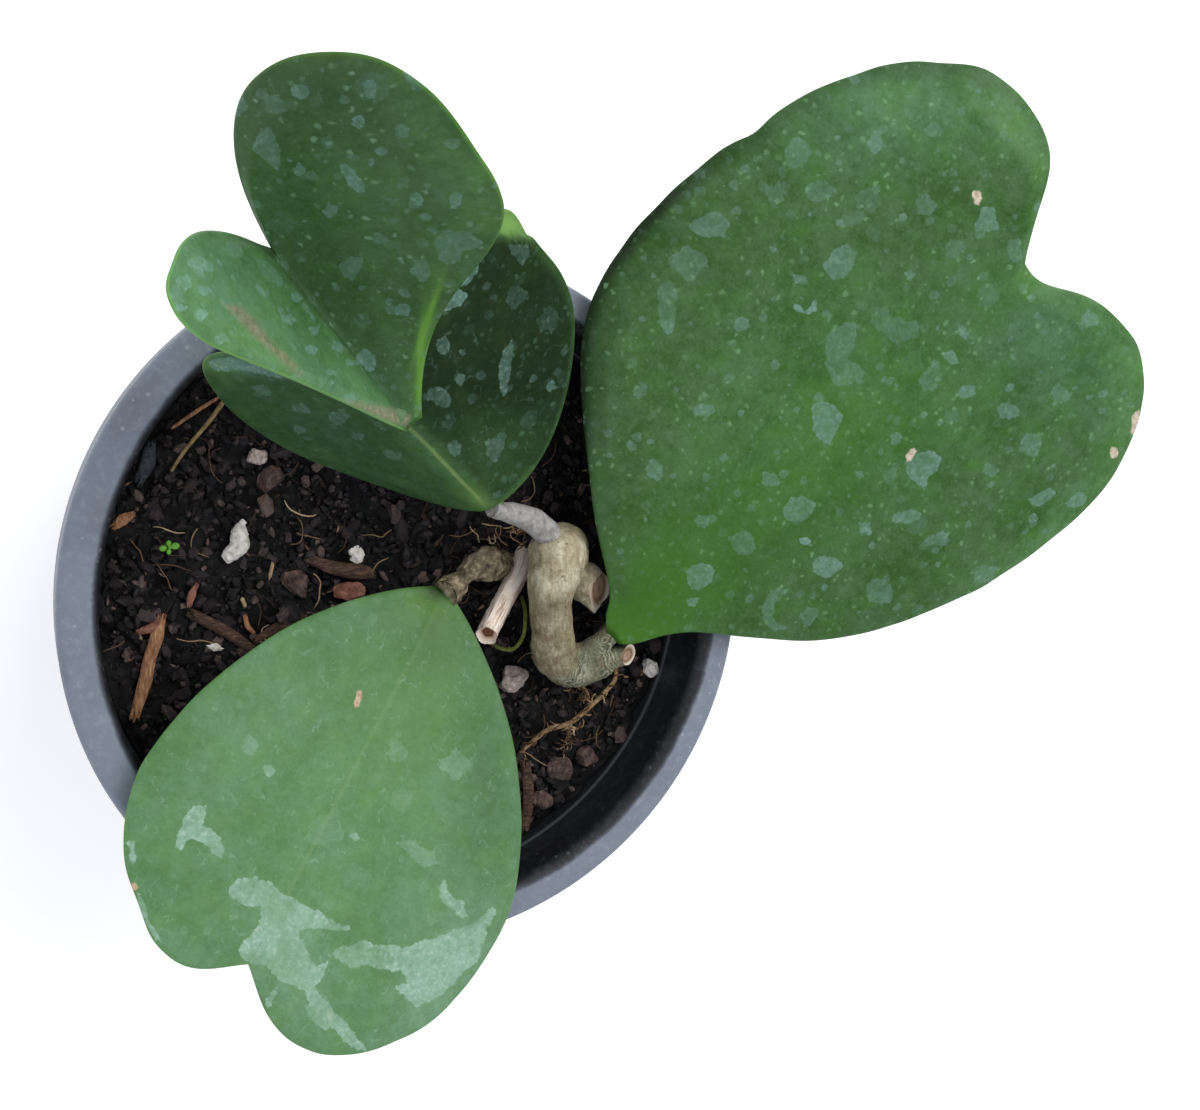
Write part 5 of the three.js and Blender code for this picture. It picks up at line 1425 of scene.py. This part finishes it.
# Sticks and flakes lying on the mix: each one's path as x, y, height over the mix and radius, and then
# how flat it is, its finish, its slot, the solid it stands for and its seed
STICK_PATHS = {
    "flat_stick": [(-18.2, 7.6, 0.8, 0.8), (-14.5, 5.8, 1.3, 1.2), (-9.6, 4.8, 1.4, 1.5),
                   (-6.4, 4.2, 0.9, 1.0)],
    "split_sliver": [(-46, -2, 1.2, 0.9), (-46.8, -5, 1.6, 1.2), (-48, -9, 1.5, 1.1),
                     (-49, -13.4, 1.4, 1.3), (-51, -19.6, 1.0, 1.0)],
    "split_sliver_end": [(-50, -4, 1.0, 0.5), (-47.6, -3.2, 1.5, 0.9), (-45.4, -1.4, 1.2, 0.5)],
    "slate_sliver": [(-46.4, 29.6, 0.6, 0.8), (-47.2, 26.4, 1.3, 1.4), (-48.8, 22.8, 0.8, 0.9)],
    "brown_stick_1": [(-40.2, -1.5, 0.6, 0.9), (-34.5, -5, 0.9, 1.2), (-29, -9.2, 0.8, 0.9)],
    "brown_stick_2": [(-28.8, -7.6, 0.8, 0.7), (-24.5, -5.2, 1.1, 1.0), (-20, -3.4, 0.8, 0.6)],
    "brown_stick_3": [(24.6, -36, 0.8, 1.1), (25.2, -43, 1.0, 1.3), (24.8, -50, 0.6, 1.0)],
    "tan_chip_1": [(-53.6, 14.8, 0.6, 0.6), (-51.8, 16.2, 1.1, 1.1), (-50, 17, 0.7, 0.5)],
    "tan_fibre": [(-30.4, -2.6, 1.0, 0.4), (-30, -4.6, 1.4, 0.5), (-28.8, -6, 1.0, 0.3)],
    "pink_chip": [(-40.6, 0.2, 0.8, 0.5), (-40.2, 2, 1.2, 0.8), (-39.4, 3.6, 0.8, 0.4)],
    "thin_straw": [(-42.4, 32.4, 0.6, 0.3), (-38, 35.6, 1.5, 0.38), (-34.6, 37.6, 1.0, 0.3)],
    "pale_flake": [(-37.4, -7.6, 1.0, 0.4), (-36.4, -7.8, 1.3, 0.8), (-35.3, -8.2, 1.0, 0.4)],
}
STICKS = [
    ("flat_stick", 0.5, "stick", "bark_chip", "wood_stick", 3),
    ("split_sliver", 0.5, "sliver", "wood_sliver", "wood_sliver", 5),
    ("split_sliver_end", 0.5, "red_bark", "wood_sliver", None, 6),
    ("slate_sliver", 0.35, "slate", "bark_chip", "dark_sliver", 7),
    ("brown_stick_1", 0.6, "stick", "potting_mix", None, 11),
    ("brown_stick_2", 0.6, "stick", "potting_mix", None, 12),
    ("brown_stick_3", 0.5, "stick", "potting_mix", None, 13),
    ("tan_chip_1", 0.5, "sliver", "potting_mix", None, 15),
    ("tan_fibre", 0.6, "sliver", "potting_mix", None, 16),
    ("pink_chip", 0.6, "red_bark", "potting_mix", None, 17),
    ("thin_straw", 1.0, "sliver", "potting_mix", None, 18),
    ("pale_flake", 0.6, "perlite", "potting_mix", None, 19),
]
BEADS = [(-34.2, 8.2, 0.8, 0.8), (-32.8, 9.2, 1.3, 1.5), (-31.3, 10.6, 1.6, 1.7), (-31.2, 13, 1.6, 1.6),
         (-30.8, 14.6, 1.2, 0.7), (-30.2, 15.2, 1, 0.5)]

# Finishes of the loose pieces: the real material, its colours where the grain is low, middling and high,
# the grain's size and relief in millimetres, and how the grain is drawn out
LOOSE_FINISHES = {
    # Volcanic glass puffed up by heat: near white, matte and pitted
    "perlite": ("Expanded perlite", "#a79f96", "#ddd7cf", "#f1ede8", 0.9, 0.4, (1, 1, 1)),
    # The same with wet mix dried on it: pinkish grey
    "dust_and_sheen": ("Dusty perlite", "#7f6c63", "#b7a59b", "#dccfc7", 0.9, 0.4, (1, 1, 1)),
    # Composted bark, broken small: dull, and nearly as dark as the mix
    "bark": ("Pine bark chip", "#2a201e", "#4c3c38", "#715c54", 1.4, 0.4, (1, 1, 1)),
    # The bark's inner layer: red brown
    "red_bark": ("Red bark chip", "#53332a", "#7d5143", "#a07262", 1.4, 0.3, (1, 1, 1)),
    # A weathered strip of bark: dark brown and streaked
    "stick": ("Bark stick", "#271c18", "#47342a", "#6f5546", 0.6, 0.3, (0.3, 1, 1)),
    # Wood split along its grain: tan, with drawn-out fibres
    "sliver": ("Split wood sliver", "#6b452f", "#9c6f50", "#c19a76", 0.5, 0.3, (1, 0.22, 1)),
    # A plate of charred husk: cold dark grey and nearly smooth
    "slate": ("Grey husk plate", "#22242a", "#33363d", "#4b4f58", 0.9, 0.2, (1, 1, 1)),
    # A bare root whose skin has dried: tan and nearly smooth
    "root": ("Surface root", "#6b5138", "#96795a", "#b9a079", 0.8, 0.2, (1, 1, 1)),
}


def loose_materials():
    """The loose pieces' materials: dead plant matter and expanded glass, all dry and matte."""
    materials = {}
    for key, (name, low, middle, high, size, relief, stretch) in LOOSE_FINISHES.items():
        stops = [(0.3, low), (0.5, middle), (0.7, high)]
        materials[key] = plain_material(name, stops, size, relief, stretch=stretch)
    return materials


def on_mix(rows):
    """A path whose heights are measured from the mix, as a path in the part's own heights."""
    return [(x, y, float(soil_height(x, y)) + height, radius) for x, y, height, radius in rows]


def build_lump(name, rows, material, stands_for):
    """Grown-together perlite beads: a short fat tube that swells at each bead, with pitted relief."""
    points, faces, values = tube(on_mix(rows), 70, 40, end_rings=6)
    out = unit(points - curve_points(on_mix(rows), values["along"]) + 1e-9)
    lump = 0.25 * noise(points, 1.6, 3, 2) + 0.08 * noise(points, 0.5, 5, 2)
    add_piece(new_mesh(name, points + out * lump[:, None], faces), material, stands_for=(stands_for,))


def build_stick(name, flatness, material, stands_for, seed):
    """A split stick: a tube pressed flat, with straight fibres, torn at both ends."""
    path = on_mix(STICK_PATHS[name])
    points, faces, values = tube(path, 90, 36, end_rings=2)
    along, around = values["along"], values["around"]
    centre = curve_points(path, along)
    out = points - centre
    out[:, 2] *= flatness
    ridges = 1 + 0.12 * noise(np.stack([2.2 * around, 3 * along, 0 * along], -1), 0.9, seed, 2)
    ends = unit(np.diff(curve_points(path, np.array([0.0, 0.05, 0.95, 1.0])), axis=0))
    torn = noise(np.stack([2.5 * around, 0 * along, 0 * along], -1), 0.8, seed + 2, 2)
    last, first = smooth_step(along, 0.86, 1), 1 - smooth_step(along, 0, 0.14)
    reach = 1.1 * max(row[3] for row in path)
    tear = torn[:, None] * reach * (last[:, None] * ends[2] - first[:, None] * ends[0])
    mesh = new_mesh(name, centre + out * ridges[:, None] + tear, faces, {"along": along})
    add_piece(mesh, material, stands_for=(stands_for,) if stands_for else ())


# The seedling's seed leaves: where each points in degrees, its reach, its width and its height
SEED_LEAVES = [(12, 1.5, 1.0, 4.9), (186, 1.4, 0.9, 4.8), (95, 1.1, 0.7, 5.3), (262, 1.0, 0.65, 5.4)]


def build_seedling(material):
    """A weed seedling: a hair-thin stalk with four round seed leaves, each a cupped oval plate."""
    x, y = -44.6, 11.4
    ground = float(soil_height(x, y))
    stalk = [(x, y, ground - 4, 0.35), (x + 0.2, y, ground + 5, 0.3)]
    parts = [tube(stalk, 12, 10, end_rings=2)[:2] + ({},)]
    ball = round_ball(14, 28)
    for turn, reach, width, height in SEED_LEAVES:
        plate = ball * (0.5 * reach, width * 0.62, 0.16) + (0.72 * reach, 0, 0)
        plate[:, 2] += 0.12 * plate[:, 0] ** 2 - 0.1 * plate[:, 1] ** 2
        out, along = turn_by(plate[:, 0], plate[:, 1], math.radians(turn))
        moved = np.stack([out + x, along + y, plate[:, 2] + ground + height], -1)
        parts.append((moved, grid_faces(14, 28, wrap=True), {}))
    add_piece(new_mesh("weed_seedling", *join_parts(parts)), material,
              stands_for=("seedling",))


# Settings

class HoyaLeafSettings(bpy.types.PropertyGroup):
    thickness: bpy.props.FloatProperty(
        name="Blade thickness", description="Thickness of a blade away from its margin, in millimetres",
        default=2.6, min=0.6, max=5)
    edge: bpy.props.FloatProperty(
        name="Margin rounding", description="Width over which the margin is rounded, in millimetres",
        default=1.6, min=0.5, max=4)
    wave: bpy.props.FloatProperty(
        name="Margin wave", description="How far the margin waves in and out, in millimetres",
        default=0.6, min=0, max=3)
    groove: bpy.props.FloatProperty(
        name="Midrib groove", description="Depth of the trough along the midrib, in millimetres",
        default=0.35, min=0, max=1.5)
    curl: bpy.props.FloatProperty(
        name="Margin curl", description="How far the right leaf's left margin curls down, in millimetres",
        default=3.0, min=0, max=6)
    film: bpy.props.FloatProperty(
        name="Stain strength", description="How strongly the dried films show, as a share of what is usual",
        default=1.0, min=0, max=2, subtype="FACTOR")


class HoyaPotSettings(bpy.types.PropertyGroup):
    wall: bpy.props.FloatProperty(
        name="Wall", description="Thickness of the pot's wall, in millimetres", default=1.6, min=0.8, max=4)
    skirt: bpy.props.FloatProperty(
        name="Rim skirt", description="Height of the skirt that hangs from the rim, in millimetres",
        default=12, min=4, max=30)
    # The charcoal is the plastic's own near-black, chosen darker still to carry the painted shade inside
    # the pot
    charcoal: bpy.props.FloatVectorProperty(
        name="Charcoal", description="Colour of the plastic inside the pot", subtype="COLOR", size=4,
        default=linear("#25272b"))
    # The weathered colour is partly real weathering and partly a painted highlight of the sky on the rim
    chalky: bpy.props.FloatVectorProperty(
        name="Weathered", description="Colour of the plastic where light has turned it chalky",
        subtype="COLOR", size=4, default=linear("#777e8b"))
    dust: bpy.props.FloatProperty(
        name="Dust", description="How strongly dried dust shows on the plastic", default=0.35, min=0, max=1,
        subtype="FACTOR")


class HoyaSoilSettings(bpy.types.PropertyGroup):
    seed: bpy.props.IntProperty(name="Seed", description="Seed of the strewn chips", default=7)
    crumbs: bpy.props.IntProperty(name="Crumbs", description="Number of small crumbs", default=6500, min=0)
    chips: bpy.props.IntProperty(name="Chips", description="Number of larger chips", default=560, min=0)
    splinters: bpy.props.IntProperty(name="Splinters", description="Number of wood splinters", default=260,
                                     min=0)
    threads: bpy.props.IntProperty(name="Fine roots", description="Number of fine roots", default=150,
                                   min=0)
    thread_radius: bpy.props.FloatProperty(
        name="Root radius", description="Radius of a fine root, in millimetres", default=0.13, min=0.05,
        max=0.5)


class HoyaStageSettings(bpy.types.PropertyGroup):
    floor: bpy.props.FloatVectorProperty(
        name="Floor", description="Colour of the floor", subtype="COLOR", size=4, default=linear("#fdfdfd"))
    glow: bpy.props.FloatProperty(
        name="Floor glow", description="Light given off by the floor, as on a light table", default=0.35,
        min=0)
    sky: bpy.props.FloatProperty(
        name="Fill light", description="Strength of the even light from all round", default=0.7, min=0)
    key: bpy.props.FloatProperty(
        name="Key light", description="Power of the large soft lamp", default=12, min=0, unit="POWER")


SETTINGS = {"hoya_leaf": HoyaLeafSettings, "hoya_pot": HoyaPotSettings, "hoya_soil": HoyaSoilSettings,
            "hoya_stage": HoyaStageSettings}


# Operators

class HOYA_OT_pot(bpy.types.Operator):
    """Builds the nursery pot"""
    bl_idname = "hoya.pot"
    bl_label = "Build Pot"

    def execute(self, context):
        settings = context.scene.hoya_pot
        build_pot(pot_material(tuple(settings.charcoal), tuple(settings.chalky), settings.dust), settings)
        return {"FINISHED"}


class HOYA_OT_soil(bpy.types.Operator):
    """Builds the potting mix with its chips and fine roots"""
    bl_idname = "hoya.soil"
    bl_label = "Build Potting Mix"

    def execute(self, context):
        dark = [(0, "#0b0b0c"), (0.45, "#181718"), (0.72, "#282325"), (0.9, "#3f3536"), (1, "#64534c")]
        # A splinter shows the bark's paler inside
        splinter = [(0, "#1b1413"), (0.6, "#35271f"), (0.84, "#6b5443"), (1, "#b79c7c")]
        # A dead root dries to a tan thread
        thread = [(0, "#2a1f1a"), (0.55, "#5c4736"), (0.85, "#93795a"), (1, "#c2a988")]
        materials = {
            "bed": mix_material("Composted bark bed", dark, 1.2, 0.6),
            "husk": mix_material("Charred husk", dark, 0.8, 0.45),
            "splinter": mix_material("Splintered bark", splinter, 0.7, 0.7),
            "thread": mix_material("Dead root thread", thread, 0.9, 0.7),
        }
        build_soil(materials, context.scene.hoya_soil)
        return {"FINISHED"}


class HOYA_OT_leaves(bpy.types.Operator):
    """Builds the four leaves"""
    bl_idname = "hoya.leaves"
    bl_label = "Build Leaves"

    def execute(self, context):
        for name, finish in LEAF_FINISHES.items():
            build_leaf(name, leaf_material(finish), context.scene.hoya_leaf)
        return {"FINISHED"}


class HOYA_OT_stems(bpy.types.Operator):
    """Builds the old stem, the young stem, the dry stub and the rough stalk"""
    bl_idname = "hoya.stems"
    bl_label = "Build Stems"

    def execute(self, context):
        build_woody_stem(bark_material())
        # Young bark is thin and waxy: silver grey with a faint sheen
        silvery = [(0.32, "#756f69"), (0.48, "#918e8b"), (0.66, "#aaa8a7")]
        silver = plain_material("Silvery young bark", silvery, 1.3, 0.05, 0.6)
        # Old bark lifts in scales and holds moss: rough, dull and olive brown
        scaly = [(0.3, "#332b21"), (0.46, "#5f5543"), (0.58, "#857963"), (0.72, "#a99c84")]
        rough = plain_material("Mossy scale bark", scaly, 1.8, 0.35, 0.9)
        build_simple_stem("young_vine", YOUNG_PATH, silver, "young_bark", "young_stem",
                          [(0.16, 3), (0.03, 0.9)])
        build_simple_stem("dead_stalk", DRY_PATH, stub_material(), "dry_wood", "dry_stub", [(0.12, 1.5)],
                          swell=lambda t, a: 1 + 0.05 * np.cos(5 * a) + 0.03 * np.sin(17 * a + 4 * t),
                          dish=1.3, end_rings=10)
        build_simple_stem("rough_stalk", ROUGH_PATH, rough, "rough_bark", "rough_petiole",
                          [(0.55, 2.6), (0.22, 1.1), (0.08, 0.45)], rings=150, sides=60,
                          swell=lambda t, a: 1 + 0.05 * np.sin(19 * t) + 0.04 * np.sin(2 * a + 3))
        return {"FINISHED"}


class HOYA_OT_loose(bpy.types.Operator):
    """Builds the perlite, bark, slivers, straw, root, tendril and seedling in the mix"""
    bl_idname = "hoya.loose"
    bl_label = "Build Loose Pieces"

    def execute(self, context):
        materials = loose_materials()
        for seed, (name, spec) in enumerate(LOOSE_PIECES.items()):
            build_loose_piece(name, spec, materials, seed + 3)
        build_lump("perlite_1_grain", BEADS, materials["perlite"], "perlite_1")
        for name, flatness, finish, slot, stands_for, seed in STICKS:
            build_stick(name, flatness, materials[finish], stands_for, seed)
        parts = [tube(path, 60, 12)[:2] + ({},) for path in ROOT_PATHS]
        add_piece(new_mesh("vine_root", *join_parts(parts)), materials["root"],
                  ("surface_root",))
        # A living thread of the vine: yellow green
        green = plain_material("Thread-thin tendril", [(0.3, "#5f6a2c"), (0.7, "#8f9a4a")], 1.0, 0.1)
        add_piece(new_mesh("thin_tendril", *tube(TENDRIL_PATH, 80, 10)[:2]), green,
                  ("tendril",))
        # Dead grass: dull straw brown
        dry = plain_material("Dry straw", [(0.3, "#5d4a30"), (0.7, "#a58e63")], 1.2, 0.2)
        add_piece(new_mesh("dry_straw", *tube(STRAW_PATH, 60, 12)[:2]), dry, ("straw",))
        # Leaves a few days old: bright green, with a soft sheen
        fresh = [(0.3, "#3f7f22"), (0.7, "#6aa636")]
        build_seedling(plain_material("Fresh seed leaf", fresh, 1.5, 0.05, 0.45))
        return {"FINISHED"}


class HOYA_OT_stage(bpy.types.Operator):
    """Builds the floor, the lights and the camera"""
    bl_idname = "hoya.stage"
    bl_label = "Build Stage"

    def execute(self, context):
        scene, settings = context.scene, context.scene.hoya_stage
        mesh = bpy.data.meshes.new("studio_floor")
        mesh.from_pydata([(-3, -3, 0), (3, -3, 0), (3, 3, 0), (-3, 3, 0)], [], [(0, 1, 2, 3)])
        # Matte paint, faintly lit from within so that shadows on it stay soft
        material, _, principled = new_material("Pale studio floor", roughness=0.9, specular_ior_level=0.1)
        principled.inputs["Base Color"].default_value = settings.floor
        principled.inputs["Emission Color"].default_value = settings.floor
        principled.inputs["Emission Strength"].default_value = settings.glow
        mesh.materials.append(material)
        floor = bpy.data.objects.new("studio_floor", mesh)
        scene.collection.objects.link(floor)

        world = bpy.data.worlds.new("Studio light")
        world.use_nodes = True
        background = world.node_tree.nodes["Background"]
        background.inputs["Color"].default_value = linear("#f4f8ff")
        background.inputs["Strength"].default_value = settings.sky
        scene.world = world

        lamps = [("key_lamp", (0.5, 0.6, 1.25), 1.2, settings.key, "#fffdf8"),
                 ("fill_lamp", (-0.8, -0.6, 1.1), 1.0, settings.key * 0.2, "#f1f5ff")]
        for name, place, size, power, colour in lamps:
            data = bpy.data.lights.new(name, "AREA")
            data.shape, data.size, data.energy = "DISK", size, power
            data.color = linear(colour)[:3]
            lamp = bpy.data.objects.new(name, data)
            lamp.location = place
            facing = Vector((0.0, 0.0, 0.1)) - lamp.location
            lamp.rotation_euler = facing.to_track_quat("-Z", "Y").to_euler()
            scene.collection.objects.link(lamp)

        data = bpy.data.cameras.new("camera")
        data.sensor_width = SENSOR_WIDTH
        data.lens = SENSOR_WIDTH * FOCAL_PIXELS / IMAGE_SIZE[0]
        data.clip_start, data.clip_end = 0.01, 20
        camera = bpy.data.objects.new("camera", data)
        columns = zip(CAMERA_RIGHT, CAMERA_UP, CAMERA_BACK, CAMERA_AT * MM)
        camera.matrix_world = Matrix([list(row) for row in columns] + [[0, 0, 0, 1]])
        scene.collection.objects.link(camera)
        scene.camera = camera
        scene.view_settings.view_transform = "Standard"
        return {"FINISHED"}


OPERATORS = [HOYA_OT_stage, HOYA_OT_pot, HOYA_OT_soil, HOYA_OT_leaves, HOYA_OT_stems, HOYA_OT_loose]


class HOYA_PT_panel(bpy.types.Panel):
    """Lists the hoya's settings and the steps that build it"""
    bl_idname = "HOYA_PT_panel"
    bl_label = "Sweetheart Hoya"
    bl_space_type = "VIEW_3D"
    bl_region_type = "UI"
    bl_category = "Hoya"

    def draw(self, context):
        for name, group in SETTINGS.items():
            box = self.layout.box()
            for key in group.__annotations__:
                box.prop(getattr(context.scene, name), key)
        for operator in OPERATORS:
            self.layout.operator(operator.bl_idname)


CLASSES = [*SETTINGS.values(), *OPERATORS, HOYA_PT_panel]


def register():
    for cls in CLASSES:
        bpy.utils.register_class(cls)
    for name, group in SETTINGS.items():
        setattr(bpy.types.Scene, name, bpy.props.PointerProperty(type=group))


def unregister():
    for name in SETTINGS:
        delattr(bpy.types.Scene, name)
    for cls in reversed(CLASSES):
        bpy.utils.unregister_class(cls)


def main():
    """Builds the stage and every piece."""
    register()
    bpy.ops.hoya.stage()
    bpy.ops.hoya.pot()
    bpy.ops.hoya.soil()
    bpy.ops.hoya.leaves()
    bpy.ops.hoya.stems()
    bpy.ops.hoya.loose()


if __name__ == "__main__":
    main()
